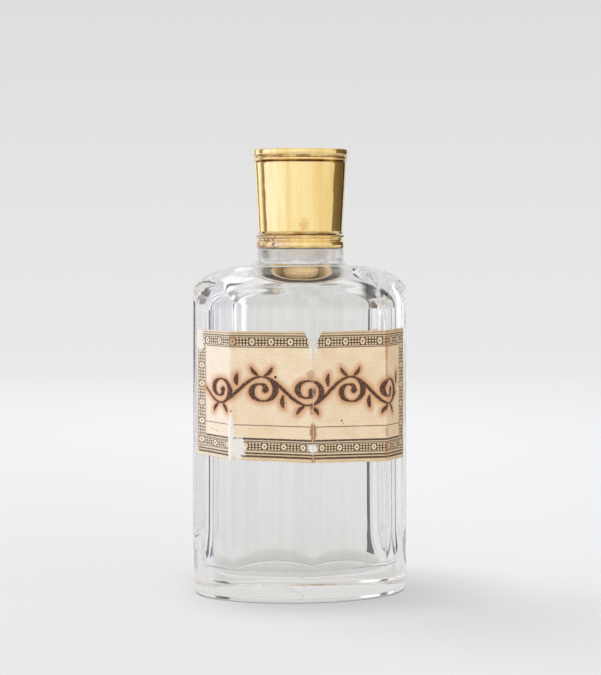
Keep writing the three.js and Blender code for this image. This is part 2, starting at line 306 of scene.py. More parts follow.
def lofted(name, rings, material):
    """A closed skin through a stack of rings of points, with both ends closed by a fan."""
    rings = np.array(rings)
    rows, columns = rings.shape[:2]
    vertices = [*rings.reshape(-1, 3), rings[0].mean(axis=0), rings[-1].mean(axis=0)]
    faces = grid_faces(rows, columns, wrap=True)
    first, last = rows * columns, rows * columns + 1
    end = (rows - 1) * columns
    for column in range(columns):
        after = (column + 1) % columns
        faces.append((first, after, column))
        faces.append((last, end + column, end + after))
    return new_object(name, vertices, faces, material)


def turned(name, profile, material, segments=192, reshape=None, solid=False):
    """A profile of (radius, height) points turned about Z. reshape may move the points a little.

    The profile closes on itself, as a tube's does. A solid one is closed by a fan at each end instead.
    """
    angles = np.linspace(0, 2 * math.pi, segments, endpoint=False)
    radius, height = np.array(profile, float).T
    x = np.outer(radius, np.sin(angles))
    y = np.outer(radius, -np.cos(angles))
    z = np.repeat(height[:, None], segments, axis=1)
    points = np.stack((x, y, z), axis=-1)
    if reshape:
        points = reshape(points)
    if solid:
        return lofted(name, points, material)
    faces = grid_faces(len(profile) + 1, segments, wrap=True)
    count = len(profile) * segments
    faces = [tuple(corner % count for corner in face) for face in faces]
    return new_object(name, points.reshape(-1, 3), faces, material)


def quarter_arc(centre, across, up, steps):
    """Points of a quarter ellipse, from the end of its first axis to the end of its second."""
    angles = np.linspace(0, math.pi / 2, steps + 1)
    return [(centre[0] + across * math.cos(a), centre[1] + up * math.sin(a)) for a in angles]


def rounded_side(radius, bottom, top, edge, steps):
    """A disc's side from its foot to its head, with both of its edges rounded."""
    return [
        *reversed(quarter_arc((radius - edge, bottom + edge), edge, -edge, steps)),
        *quarter_arc((radius - edge, top - edge), edge, edge, steps),
    ]


def bead(wall, bulge, bottom, top, steps=10):
    """Points of a half round on a vertical wall, from its foot to its top."""
    angles = np.linspace(0, math.pi, steps + 1)
    middle, half = (bottom + top) / 2, (top - bottom) / 2
    return [(wall + bulge * math.sin(a), middle - half * math.cos(a)) for a in angles]


def rounded(profile, radius=0.12, steps=3):
    """The same closed profile with each corner rounded, where its sides leave room."""
    points = [np.array(point, float) for point in profile]
    result = []
    for before, corner, after in zip(points[-1:] + points[:-1], points, points[1:] + points[:1]):
        to_before, to_after = before - corner, after - corner
        room = min(np.linalg.norm(to_before), np.linalg.norm(to_after)) * 0.4
        cut = min(radius, room)
        start = corner + to_before / np.linalg.norm(to_before) * cut
        end = corner + to_after / np.linalg.norm(to_after) * cut
        for share in np.linspace(0, 1, steps + 1):
            first = start + (corner - start) * share
            second = corner + (end - corner) * share
            result.append(tuple(first + (second - first) * share))
    return result


# ---- glass ----

def oval(turn, half_width, half_depth):
    angle = np.asarray(turn, float) * (2 * math.pi / FACES)
    return np.stack((half_width * np.sin(angle), -half_depth * np.cos(angle)), axis=-1)


def flats(turn, half_width, half_depth):
    """The eight-sided outline with its corners on the oval. Corner 0 is at the front."""
    face = np.floor(turn)
    along = (turn - face)[..., None]
    return oval(face, half_width, half_depth) * (1 - along) + oval(face + 1, half_width, half_depth) * along


def soft_least(first, second, softness):
    """The smaller of two values, with a smooth change from one to the other."""
    near = np.maximum(softness - np.abs(first - second), 0)
    return np.minimum(first, second) - near * near / (4 * softness)


def wall_halves(height):
    taper = BODY_TAPER * height / SHOULDER_TOP
    return BODY_HALF_WIDTH - taper, BODY_HALF_DEPTH - taper


def shoulder_half(wall_half, start, power, height):
    climbed = np.clip((height - start) / (SHOULDER_TOP - start), 0, 1)
    left = (1 - climbed ** power) ** (1 / power)
    return SHOULDER_TOP_RADIUS + (wall_half - SHOULDER_TOP_RADIUS) * left


def body_ring(turn, height, inset=0.0):
    """One level of the outer glass: the oval blank, ground back to its eight flat faces."""
    half_width, half_depth = wall_halves(height)
    margin = BLANK_MARGIN - inset
    blank = oval(
        turn,
        shoulder_half(half_width + margin, SIDE_SHOULDER_START, SIDE_SHOULDER_POWER, height),
        shoulder_half(half_depth + margin, FRONT_SHOULDER_START, FRONT_SHOULDER_POWER, height),
    )
    reaches = []
    for face in range(FACES):
        start, end = oval(face, half_width, half_depth), oval(face + 1, half_width, half_depth)
        outward = np.array((end[1] - start[1], start[0] - end[0]))
        outward = outward / np.linalg.norm(outward)
        toward = blank @ outward
        reaches.append(np.where(toward > 0, (start @ outward) / np.maximum(toward, 1e-6), 9.0))
    nearest, second = np.sort(reaches, axis=0)[:2]
    cut = soft_least(nearest, second, CUT_EDGE_SOFTNESS)
    kept = soft_least(cut, np.ones_like(cut), CUT_EDGE_SOFTNESS / 2)
    points = blank * kept[:, None]
    unground = oval(turn, half_width - FOOT_OVAL_INSET - inset, half_depth - FOOT_OVAL_INSET - inset)
    foot = np.interp(height, FOOT_BLEND, (1, 0))
    foot = foot * foot * (3 - 2 * foot)
    points = points * (1 - foot) + unground * foot
    return np.column_stack((points, np.full(len(turn), height)))


def circle_ring(turn, radius, height):
    return np.column_stack((oval(turn, radius, radius), np.full(len(turn), height)))


def outer_rings(turn):
    """The outer glass from its foot to its lip."""
    foot = reversed(quarter_arc((FOOT_INSET, FOOT_RISE), -FOOT_INSET, -FOOT_RISE, 10))
    rings = [body_ring(turn, height, inset) for inset, height in foot]
    climbed = np.sin(np.linspace(0, math.pi / 2, SHOULDER_ROWS)[1:-1])
    for height in (
        *np.linspace(FOOT_RISE, FOOT_BLEND[1], FOOT_ROWS)[1:],
        *np.linspace(FOOT_BLEND[1], FRONT_SHOULDER_START, WALL_ROWS)[1:],
        *(FRONT_SHOULDER_START + (SHOULDER_TOP - FRONT_SHOULDER_START) * climbed),
    ):
        rings.append(body_ring(turn, height))
    fillet = (SHOULDER_TOP_RADIUS, SHOULDER_TOP + NECK_FILLET_RISE)
    fillet_run = SHOULDER_TOP_RADIUS - NECK_RADIUS
    edge = LEDGE_ROUNDING
    for radius, height in (
        *reversed(quarter_arc(fillet, -fillet_run, -NECK_FILLET_RISE, 8)),
        *quarter_arc((NECK_RADIUS - edge, NECK_LEDGE - edge), edge, edge, 4),
        (NECK_RADIUS - 2 * edge, NECK_LEDGE),
        (SHANK_RADIUS + 2 * edge, NECK_LEDGE),
        *reversed(quarter_arc((SHANK_RADIUS + edge, NECK_LEDGE + edge), -edge, -edge, 4)),
        (SHANK_RADIUS, NECK_LEDGE + 3 * edge),
        (SHANK_RADIUS, LIP_HEIGHT - 4 * edge),
        *quarter_arc((SHANK_RADIUS - 2 * edge, LIP_HEIGHT - 2 * edge), 2 * edge, 2 * edge, 5),
        *reversed(quarter_arc((BORE_TOP_RADIUS + 2 * edge, LIP_HEIGHT - 2 * edge), -2 * edge, 2 * edge, 5)),
    ):
        rings.append(circle_ring(turn, radius, height))
    return rings


def hollow_ring(turn, half_width, half_depth, roundness, height):
    """One level of the hollow: a soft-cornered outline between the eight-sided one and an oval."""
    shifts = np.linspace(-HOLLOW_SOFTNESS, HOLLOW_SOFTNESS, 17)
    flat = np.mean([flats(turn + shift, half_width, half_depth) for shift in shifts], axis=0)
    points = flat * (1 - roundness) + oval(turn, half_width, half_depth) * roundness
    out_from_bore = (half_width - BORE_BOTTOM_RADIUS) / (BODY_HALF_WIDTH - BORE_BOTTOM_RADIUS)
    points[:, 0] += HOLLOW_SHIFT * out_from_bore
    return np.column_stack((points, np.full(len(turn), height)))


def dome_height(reach, wall):
    """The height of the hollow's roof at a distance from the axis: a dome that sweeps up into the bore."""
    share = np.clip((reach - BORE_BOTTOM_RADIUS) / (wall - BORE_BOTTOM_RADIUS), 0, 1)
    roof = DOME_START + DOME_RISE * (1 - share ** DOME_POWER) ** (1 / DOME_POWER)
    return roof + DOME_NECK_RISE * math.exp(-(reach - BORE_BOTTOM_RADIUS) / DOME_NECK_SPREAD)


def hollow_rings(turn):
    """The hollow from the top of its bore down to the middle of its floor."""
    half_width = BODY_HALF_WIDTH - END_WALL
    half_depth = BODY_HALF_DEPTH - FRONT_WALL
    rings = []
    bore_slope = (BORE_TOP_RADIUS - BORE_BOTTOM_RADIUS) / (LIP_HEIGHT - BORE_START)
    dome_top = dome_height(BORE_BOTTOM_RADIUS, half_width)
    for height in np.linspace(LIP_HEIGHT - 1, dome_top + 1, BORE_ROWS):
        rings.append(circle_ring(turn, BORE_BOTTOM_RADIUS + bore_slope * (height - BORE_START), height))
    for share in np.sin(np.linspace(0, math.pi / 2, DOME_ROWS)[1:]):
        width = BORE_BOTTOM_RADIUS + (half_width - BORE_BOTTOM_RADIUS) * share
        depth = BORE_BOTTOM_RADIUS + (half_depth - BORE_BOTTOM_RADIUS) * share
        roundness = 1 + (HOLLOW_ROUNDNESS - 1) * share
        rings.append(hollow_ring(turn, width, depth, roundness, dome_height(width, half_width)))
    run, rise = FLOOR_CORNER
    corner_top = FLOOR_THICKNESS + rise
    for height in np.linspace(DOME_START, corner_top, HOLLOW_WALL_ROWS)[1:-1]:
        near_floor = math.exp((corner_top - height) / HOLLOW_FLOOR_BLEND)
        roundness = HOLLOW_ROUNDNESS + (1 - HOLLOW_ROUNDNESS) * near_floor
        rings.append(hollow_ring(turn, half_width, half_depth, roundness, height))
    for inset, height in quarter_arc((run, corner_top), -run, -rise, 14):
        rings.append(hollow_ring(turn, half_width - inset, half_depth - inset, 1.0, height))
    floor_width, floor_depth = half_width - run, half_depth - run
    for share in (0.8, 0.5, 0.2):
        rings.append(hollow_ring(turn, floor_width * share, floor_depth * share, 1.0, FLOOR_THICKNESS))
    return rings


GLASS_IOR = 1.5
GLASS_TINT = (0.955, 0.955, 0.945)
LOW_TINT = (0.922, 0.922, 0.908)
LOW_TINT_FADE = (60.0, 36.0)
BASE_TINT_AND_SHADE = (0.900, 0.884, 0.850)
BASE_TINT_AND_SHADE_FADE = (9.0, 6.0)
STREAK_TINT = (0.865, 0.865, 0.850)
NECK_TINT = (0.84, 0.79, 0.69)
NECK_HAZE = (80.3, 82.6)
NECK_ROUGHNESS = (0.26, 0.50)
DUST_ROUGHNESS = 0.035
GROUND_EDGE = (83.70, 83.75)
GROUND_ROUGHNESS = 0.2
GLASS_SHADOW = 0.93
CEMENT_THROUGH_GLASS = (0.92, 0.72, 0.42)
CEMENT_DARK = (0.66, 0.45, 0.20)
CEMENT_ROUGHNESS = (0.7, 0.9)


def glass_material(name):
    """Old clear glass: wavy, scratched, dusty, tinted lower down, darker in the foot from its tint and
    painted shade, and ground above the neck's ledge.
    """
    material, graph = new_material(name)
    place = graph.place()
    level = graph.split(place)[2]
    dust = graph.fade(graph.noise(place, 0.35, detail=6), 0.5, 0.75)
    waves = graph.noise(place, (0.12, 0.12, 0.03), detail=2)
    scratches = graph.fade(graph.noise(place, (6, 6, 0.4), detail=4), 0.62, 0.7)
    height = graph.add(waves, graph.times(scratches, 0.004))
    streaks = graph.noise(place, (0.30, 0.30, 0.004), detail=4, roughness=0.6)
    neck = graph.fade(level, *NECK_HAZE)
    stain = graph.fade(graph.noise(place, (0.25, 0.25, 1.2), detail=5), 0.35, 0.7)
    colour = graph.mix(graph.fade(level, *LOW_TINT_FADE), GLASS_TINT, LOW_TINT)
    colour = graph.paint(colour, STREAK_TINT, graph.fade(streaks, 0.4, 0.62), 0.8)
    # The foot's lowest millimetres are darker: the thick glass's tint and painted shade of its contact with
    # the floor.
    colour = graph.paint(colour, BASE_TINT_AND_SHADE, graph.fade(level, *BASE_TINT_AND_SHADE_FADE))
    colour = graph.paint(colour, NECK_TINT, graph.times(neck, graph.scale(stain, 0.35, 1.0)))
    ground = graph.times(graph.fade(level, *GROUND_EDGE), GROUND_ROUGHNESS)
    haze = graph.times(neck, graph.scale(stain, *NECK_ROUGHNESS))
    glass = graph.principled(
        Base_Color=colour,
        Roughness=graph.most(graph.scale(dust, 0.0, DUST_ROUGHNESS), ground, haze),
        IOR=GLASS_IOR,
        Transmission_Weight=1.0,
        Normal=graph.bump(height, 0.15, 0.0006),
    )
    graph.surface(graph.light_through(glass, GLASS_SHADOW))
    return material


def shank_material():
    """The ground shank where the collar's cement clings to it and shows through the glass."""
    material, graph = new_material("cemented_shank")
    grain = graph.stretch(graph.place(), (1, 1, 0.3))
    grain = graph.noise(grain, 2.5, detail=5, roughness=0.7)
    graph.surface(graph.principled(
        Base_Color=graph.mix(grain, CEMENT_THROUGH_GLASS, CEMENT_DARK),
        Roughness=graph.scale(grain, *CEMENT_ROUGHNESS),
    ))
    return material


def make_bottle(material):
    turn = np.concatenate([face + np.array(FACE_COLUMNS) for face in range(FACES)])
    bottle = lofted("flacon_glass", outer_rings(turn) + hollow_rings(turn), material)
    bottle.data.materials.append(shank_material())
    for face in bottle.data.polygons:
        height = face.center.z / MM
        reach = face.center.xy.length / MM
        face.material_index = int(COLLAR_BOTTOM < height < CEMENT_TOP and reach > SHANK_RADIUS - 0.5)
    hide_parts("glass_bottle")
    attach(bottle, "bottle")


PLUG_BOTTOM = 85.5
PLUG_CLEARANCE = 0.2
STOPPER_HEAD_RADIUS = 7.6
STOPPER_HEAD_BOTTOM = 99.7
STOPPER_HEAD_TOP = 103.3
STOPPER_NECK_RADIUS = 4.4
STOPPER_EDGE = 0.7


def make_stopper(material):
    def plug_radius(height):
        share = (height - BORE_START) / (LIP_HEIGHT - BORE_START)
        return BORE_BOTTOM_RADIUS + (BORE_TOP_RADIUS - BORE_BOTTOM_RADIUS) * share - PLUG_CLEARANCE

    edge = STOPPER_EDGE
    plug_end = plug_radius(PLUG_BOTTOM)
    profile = [
        (plug_end - 1.2, PLUG_BOTTOM),
        *reversed(quarter_arc((plug_end - 0.5, PLUG_BOTTOM + 0.5), 0.5, -0.5, 5)),
        (plug_radius(LIP_HEIGHT - 1), LIP_HEIGHT - 1),
        (plug_radius(LIP_HEIGHT) - 0.2, LIP_HEIGHT - 0.4),
        (STOPPER_NECK_RADIUS + 0.2, STOPPER_HEAD_BOTTOM - 0.15),
        (STOPPER_NECK_RADIUS + 0.5, STOPPER_HEAD_BOTTOM),
        (STOPPER_HEAD_RADIUS - 2 * edge, STOPPER_HEAD_BOTTOM),
        *rounded_side(STOPPER_HEAD_RADIUS, STOPPER_HEAD_BOTTOM, STOPPER_HEAD_TOP, edge, 6),
        (STOPPER_HEAD_RADIUS - 2 * edge, STOPPER_HEAD_TOP),
    ]
    stopper = turned("ground_stopper", profile, material, segments=96, solid=True)
    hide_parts("glass_stopper")
    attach(stopper, "stopper")


# ---- gilt collar and cap ----

COLLAR_BOTTOM = 84.0
CEMENT_OUTER = 8.15
CEMENT_TOP = 97.3
SEAM_GAP = 0.15
SLEEVE_INNER = 8.3
SLEEVE_OUTER = 8.8
SLEEVE_TOP = 98.6
BAND_OUTER = 10.76
BAND_WAIST = 10.28
BAND_TOP = 87.35
BAND_TOP_TORUS = 0.85
BAND_FOOT_TORUS = 1.9
CAP_BOTTOM = 87.55
SHELL_TOP = 104.95
SHELL_BOTTOM_OUTER = 10.29
SHELL_TOP_OUTER = 11.25
SHELL_WALL = 0.6
LINING_INNER = 9.05
LINING_OUTER = 9.5
LINING_BOTTOM = 87.75
LINING_TOP = 106.3
LIP_RING_BOTTOM = 105.1
LIP_RING_INNER = 10.45
LIP_RING_OUTER = 11.64
LIP_BEAD_RADIUS = 0.32
LIP_BEAD_HEIGHT = 105.65
LIP_GROOVE_HEIGHT = 106.2
LIP_GROOVE_OUTER = 11.2
LIP_EDGE_ROUNDING = 0.35
CAP_TOP = 108.0
TOP_PLATE_THICKNESS = 1.3
CORK_RADIUS = 8.75
CORK_BOTTOM = 103.6
CORK_TOP = 106.2
CORK_EDGE = 0.25


GILT_PALE = (1.0, 0.775, 0.375)
GILT_DEEP = (0.93, 0.66, 0.27)
# A brown for tarnish, also used as painted shade in the hollows of the mouldings.
TARNISH_AND_SHADE_BROWN = (0.34, 0.17, 0.05)
COPPER_STAIN = (0.80, 0.40, 0.08)
WORN_COPPER = (0.84, 0.55, 0.38)
# A dark colour for the dirt on the collar's left, also used as painted shade on the collar's underside.
COLLAR_DIRT_AND_SHADE = (0.16, 0.13, 0.10)
# Height bands of tarnish and painted shade; the one under the bead is painted shade only.
SEAM_TARNISH_AND_SHADE = (86.9, 88.1)
LIP_TARNISH_AND_SHADE = (105.9, 106.6)
UNDER_BEAD_SHADE = (104.75, 105.3)
STAIN_PLACE = (-0.9, -11.0, 89.5)
STAIN_FLATTENING = 0.7
COLLAR_FOOT_TARNISH_AND_SHADE = 0.9
HAND_WORK = 0.02


def hand_worked(strength):
    """Moves points in and out a little and slowly, as a hammered and turned shell does."""
    def reshape(points):
        angle = np.arctan2(points[..., 0], -points[..., 1])
        height = points[..., 2]
        wave = (
            np.sin(2 * angle + 0.7)
            + 0.6 * np.sin(3 * angle + 0.21 * height + 2.1)
            + 0.4 * np.sin(5 * angle - 0.35 * height + 4.0)
        )
        radius = np.hypot(points[..., 0], points[..., 1])
        swell = 1 + strength * wave / np.maximum(radius, 1)
        moved = points.copy()
        moved[..., 0] *= swell
        moved[..., 1] *= swell
        return moved
    return reshape


def gilt_material():
    """Old fire gilding: softly streaked and cloudy, with tarnish and painted shade in the hollows of the
    mouldings.
    """
    material, graph = new_material("gilt_metal")
    place = graph.place()
    across, _, level = graph.split(place)
    clouds = graph.noise(place, 0.28, detail=5, roughness=0.6)
    streaks = graph.noise(place, (0.5, 0.5, 0.02), detail=5, roughness=0.65)
    grain = graph.noise(place, 1.3, detail=6, roughness=0.7)
    colour = graph.mix(graph.fade(streaks, 0.38, 0.62), GILT_PALE, GILT_DEEP)
    colour = graph.paint(colour, TARNISH_AND_SHADE_BROWN, graph.fade(grain, 0.66, 0.76), 0.35)

    # Brown tarnish with painted shade in the seam, under the lip and at the collar's foot, and painted shade
    # under the bead, all in broken patches.
    tarnish_and_shade = graph.most(
        graph.band(level, *SEAM_TARNISH_AND_SHADE, 0.35),
        graph.band(level, *LIP_TARNISH_AND_SHADE, 0.2),
        graph.band(level, *UNDER_BEAD_SHADE, 0.15),
        graph.fade(level, COLLAR_BOTTOM + COLLAR_FOOT_TARNISH_AND_SHADE, COLLAR_BOTTOM),
    )
    patches = graph.noise(place, (0.22, 0.22, 1.1), detail=6, roughness=0.7)
    tarnish_and_shade = graph.times(tarnish_and_shade, graph.fade(patches, 0.38, 0.58))
    colour = graph.paint(colour, TARNISH_AND_SHADE_BROWN, tarnish_and_shade, 0.88)

    # One coppery stain low on the cap's front.
    across_stain, into_stain, up_stain = STAIN_PLACE
    flattened = graph.stretch(place, (1, 1, STAIN_FLATTENING))
    stain = graph.distance(flattened, (across_stain, into_stain, up_stain * STAIN_FLATTENING))
    stain = graph.add(stain, graph.times(graph.subtract(grain, 0.5), 3.0))
    stain = graph.fade(stain, 1.7, 0.6)
    colour = graph.paint(colour, COPPER_STAIN, stain, 0.55)

    # The left of the collar has lost its gilding and holds dark dirt.
    worn = graph.times(graph.fade(level, BAND_TOP + 0.1, BAND_TOP - 0.4), graph.fade(across, -2.5, -5.5))
    worn = graph.times(worn, graph.fade(graph.noise(place, 0.75, detail=6, roughness=0.75), 0.43, 0.53))
    colour = graph.paint(colour, WORN_COPPER, worn, 0.75)
    dirt = graph.fade(graph.noise(place, 1.1, detail=4, roughness=0.6), 0.52, 0.60)
    dirt = graph.times(dirt, graph.fade(level, BAND_TOP, BAND_TOP - 0.5))
    dirt = graph.times(dirt, graph.fade(across, -6.0, -8.0))
    colour = graph.paint(colour, COLLAR_DIRT_AND_SHADE, dirt, 0.9)
    # The collar's downward-facing underside is painted near black: painted shade under the collar.
    shaded_underside = graph.fade(level, COLLAR_BOTTOM + 0.25, COLLAR_BOTTOM + 0.08)
    colour = graph.paint(colour, COLLAR_DIRT_AND_SHADE, shaded_underside, 0.9)

    soiled = graph.times(graph.most(tarnish_and_shade, worn, stain), 0.16)
    roughness = graph.add(graph.scale(clouds, 0.05, 0.13), soiled)
    dents = graph.fade(graph.noise(place, 0.45, detail=3), 0.3, 0.7)
    dents = graph.times(dents, graph.scale(worn, 0.25, 1.6))
    height = graph.add(dents, graph.times(graph.subtract(streaks, grain), 0.10))
    graph.surface(graph.principled(
        Base_Color=colour,
        Metallic=1.0,
        Roughness=graph.most(roughness, graph.times(shaded_underside, 0.6)),
        Normal=graph.bump(height, 0.5, 0.0001),
    ))
    return material


def tube_profile(inner, outer, bottom, top):
    return rounded([(inner, bottom), (outer, bottom), (outer, top), (inner, top)])


def make_gilt_piece(name, node, body, profile, material, reshape=None, solid=False):
    piece = turned(name, profile, material, reshape=reshape, solid=solid)
    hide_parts(node)
    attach(piece, body)


def steps_between(start, end, count):
    """Points along a straight run, without its two ends."""
    start, end = np.array(start, float), np.array(end, float)
    return [tuple(start + (end - start) * share) for share in np.linspace(0, 1, count + 2)[1:-1]]


def make_collar(material):
    make_gilt_piece(
        "gilt_collar_sleeve", "collar_sleeve", "bottle",
        tube_profile(SLEEVE_INNER, SLEEVE_OUTER, COLLAR_BOTTOM, SLEEVE_TOP), material,
    )
    inner = SLEEVE_OUTER + SEAM_GAP
    bulge = BAND_OUTER - BAND_WAIST
    profile = [
        (inner, COLLAR_BOTTOM),
        (BAND_WAIST - 0.2, COLLAR_BOTTOM),
        *bead(BAND_WAIST, bulge, COLLAR_BOTTOM, COLLAR_BOTTOM + BAND_FOOT_TORUS, 12),
        *bead(BAND_WAIST, bulge, BAND_TOP - BAND_TOP_TORUS, BAND_TOP),
        (BAND_WAIST - 0.2, BAND_TOP),
        (inner, BAND_TOP),
    ]
    make_gilt_piece(
        "gilt_collar_moulding", "collar_moulding", "bottle", profile, material, hand_worked(HAND_WORK),
    )


def make_cap(material):
    outer_foot = (SHELL_BOTTOM_OUTER, CAP_BOTTOM)
    outer_head = (SHELL_TOP_OUTER, SHELL_TOP)
    shell = [
        (SHELL_BOTTOM_OUTER - SHELL_WALL, CAP_BOTTOM),
        (SHELL_BOTTOM_OUTER - 0.1, CAP_BOTTOM),
        (SHELL_BOTTOM_OUTER, CAP_BOTTOM + 0.1),
        *steps_between(outer_foot, outer_head, 24),
        (SHELL_TOP_OUTER - 0.02, SHELL_TOP - 0.1),
        (SHELL_TOP_OUTER - 0.12, SHELL_TOP),
        (SHELL_TOP_OUTER - SHELL_WALL, SHELL_TOP),
    ]
    make_gilt_piece("gilt_cap_shell", "cap_shell", "cap", shell, material, hand_worked(HAND_WORK))
    lining = tube_profile(LINING_INNER, LINING_OUTER, LINING_BOTTOM, LINING_TOP)
    make_gilt_piece("gilt_cap_lining", "cap_lining", "cap", lining, material)
    edge = LIP_EDGE_ROUNDING
    lip_foot = LIP_GROOVE_HEIGHT + LIP_RING_OUTER - LIP_GROOVE_OUTER
    bead_bottom, bead_top = LIP_BEAD_HEIGHT - LIP_BEAD_RADIUS, LIP_BEAD_HEIGHT + LIP_BEAD_RADIUS
    lip = [
        (LIP_RING_INNER, LIP_RING_BOTTOM),
        (SHELL_TOP_OUTER - 0.1, LIP_RING_BOTTOM),
        *bead(SHELL_TOP_OUTER, LIP_BEAD_RADIUS, bead_bottom, bead_top),
        (LIP_GROOVE_OUTER, LIP_GROOVE_HEIGHT),
        (LIP_RING_OUTER - 0.12, lip_foot - 0.14),
        (LIP_RING_OUTER, lip_foot + 0.1),
        *quarter_arc((LIP_RING_OUTER - edge, CAP_TOP - edge), edge, edge, 6),
        (LIP_RING_INNER + 0.1, CAP_TOP),
        (LIP_RING_INNER, CAP_TOP - 0.1),
    ]
    make_gilt_piece("gilt_cap_lip", "cap_lip_moulding", "cap", lip, material, hand_worked(HAND_WORK))
    plate_radius = LIP_RING_INNER - SEAM_GAP
    plate = [
        (plate_radius - 0.1, CAP_TOP - TOP_PLATE_THICKNESS),
        (plate_radius, CAP_TOP - TOP_PLATE_THICKNESS + 0.1),
        (plate_radius, CAP_TOP - 0.25),
        (plate_radius - 0.08, CAP_TOP - 0.08),
        (plate_radius - 0.25, CAP_TOP),
        (plate_radius - 1.0, CAP_TOP),
    ]
    make_gilt_piece("gilt_cap_top", "cap_top_plate", "cap", plate, material, solid=True)


CORK_COLOURS = ((0.52, 0.33, 0.17), (0.30, 0.17, 0.08))
CORK_PORE = (0.12, 0.06, 0.03)
CEMENT_COLOURS = ((0.80, 0.62, 0.34), (0.62, 0.42, 0.18))
FILLING_ROUGHNESS = (0.8, 0.95)


def cork_material():
    material, graph = new_material("cork")
    place = graph.place()
    grain = graph.noise(place, 1.2, detail=6, roughness=0.65)
    pores = graph.fade(graph.node("ShaderNodeTexVoronoi", Vector=place, Scale=1.6), 0.22, 0.1)
    graph.surface(graph.principled(
        Base_Color=graph.mix(pores, graph.mix(grain, *CORK_COLOURS), CORK_PORE),
        Roughness=graph.scale(grain, *FILLING_ROUGHNESS),
        Normal=graph.bump(graph.subtract(grain, pores), 0.6, 0.0003),
    ))
    return material


def cement_material():
    material, graph = new_material("plaster_cement")
    grain = graph.noise(graph.place(), 2.5, detail=6, roughness=0.7)
    graph.surface(graph.principled(
        Base_Color=graph.mix(grain, *CEMENT_COLOURS),
        Roughness=graph.scale(grain, *FILLING_ROUGHNESS),
        Normal=graph.bump(grain, 0.5, 0.0002),
    ))
    return material


def make_hidden_fillings():
    pad = rounded_side(CORK_RADIUS, CORK_BOTTOM, CORK_TOP, CORK_EDGE, 3)
    cork = turned("cap_cork_disc", pad, cork_material(), segments=96, reshape=hand_worked(0.03), solid=True)
    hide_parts("cork_pad")
    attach(cork, "cork")
    ring = tube_profile(SHANK_RADIUS + SEAM_GAP, CEMENT_OUTER, COLLAR_BOTTOM, CEMENT_TOP)
    cement = turned("plaster_ring", ring, cement_material(), segments=128)
    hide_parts("collar_cement")
    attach(cement, "bottle")


# ---- label ----

LABEL_LEFT_WIDTH = 32.3
LABEL_RIGHT_WIDTH = 31.3
LABEL_THICKNESS = 0.16
LABEL_GLUE_GAP = 0.06
LABEL_BOTTOM_MIDDLE = 33.6
LABEL_BOTTOM_SLOPE = -0.027
LABEL_TOP = 64.6
PRINT_HEIGHT = 31.0
FOLD_PLACE = 19.4
TEAR_GAP = 0.12
NOTCH_DEPTH = 4.6
NOTCH_HALF_WIDTH = 2.05
GRID_PITCH = 0.2
TORN_WANDER = 0.12
TORN_RAGGEDNESS = 0.10
CUT_WANDER = 0.14
FOOT_WANDER = 0.07
HEAD_WANDER = 0.08

# How far the paper stands up, and over what distance that dies away, along the tear, folds and edges.
TEAR_CURL = (0.26, 0.9)
FOLD_RIDGE = (0.12, 0.7)
EDGE_CURL = (0.10, 0.6)
WRINKLE = 0.022
WRINKLE_ALLOWANCE = 0.03


def smooth_noise(x, seed, waves=6, base=1.0):
    """A sum of sines with seeded phases, from about -1 to 1."""
    chance = np.random.default_rng(RANDOM_SEED + seed)
    total = np.zeros_like(np.asarray(x, float))
    weight = 0.0
    for wave in range(1, waves + 1):
        size = 1 / wave ** 0.7
        total += size * np.sin(base * wave * x * chance.uniform(0.7, 1.3) + chance.uniform(0, 2 * math.pi))
        weight += size
    return total / weight * 1.8


class GlassPath:
    """The outline of the glass at the label, measured in millimetres from its front corner."""

    def __init__(self, height):
        self.turn = np.linspace(-2.2, 2.2, 1761)
        self.points = body_ring(self.turn, height)[:, :2]
        steps = np.linalg.norm(np.diff(self.points, axis=0), axis=1)
        length = np.concatenate(([0], np.cumsum(steps)))
        self.length = length - np.interp(0, self.turn, length)
        tangent = np.gradient(self.points, self.length, axis=0)
        normal = np.column_stack((tangent[:, 1], -tangent[:, 0]))
        kernel = np.ones(31) / 31
        smooth = [np.convolve(normal[:, axis], kernel, mode="same") for axis in (0, 1)]
        self.normal = np.column_stack(smooth)
        self.normal /= np.linalg.norm(self.normal, axis=1)[:, None]

    def at(self, along):
        point = [np.interp(along, self.length, self.points[:, axis]) for axis in (0, 1)]
        normal = [np.interp(along, self.length, self.normal[:, axis]) for axis in (0, 1)]
        return np.stack(point, axis=-1), np.stack(normal, axis=-1)


def label_bottom(along):
    return LABEL_BOTTOM_MIDDLE + LABEL_BOTTOM_SLOPE * along


def notch_width(height):
    """How far the tear gapes to each side at a height: nothing below the notch, then wider."""
    climbed = np.clip((height - (LABEL_TOP - NOTCH_DEPTH)) / NOTCH_DEPTH, 0, 1.1)
    return NOTCH_HALF_WIDTH * climbed ** 1.15


def label_sheet(side):
    """Flat places (along, height) of one half of the label, in rows from its bottom to its top."""
    width = LABEL_LEFT_WIDTH if side < 0 else LABEL_RIGHT_WIDTH
    across = np.linspace(0, 1, int(width / GRID_PITCH))[None, :]
    up = np.linspace(0, 1, int(PRINT_HEIGHT / GRID_PITCH))[:, None]
    height = LABEL_BOTTOM_MIDDLE + (LABEL_TOP - LABEL_BOTTOM_MIDDLE) * up
    ragged = TORN_RAGGEDNESS * smooth_noise(height, 3 if side > 0 else 4, waves=14, base=1.1)
    torn_edge = TEAR_GAP / 2 + TORN_WANDER * smooth_noise(height, 1, waves=12, base=0.9) * side
    torn_edge = torn_edge + notch_width(height) + ragged * (notch_width(height) > 0)
    cut_edge = width + CUT_WANDER * smooth_noise(height, 5 + side, waves=5, base=0.25)
    along = side * (torn_edge + (cut_edge - torn_edge) * across)
    bottom = label_bottom(along) + FOOT_WANDER * smooth_noise(along, 8, waves=8, base=0.35)
    top = LABEL_TOP + HEAD_WANDER * smooth_noise(along, 9, waves=8, base=0.35)
    return along, bottom + (top - bottom) * up


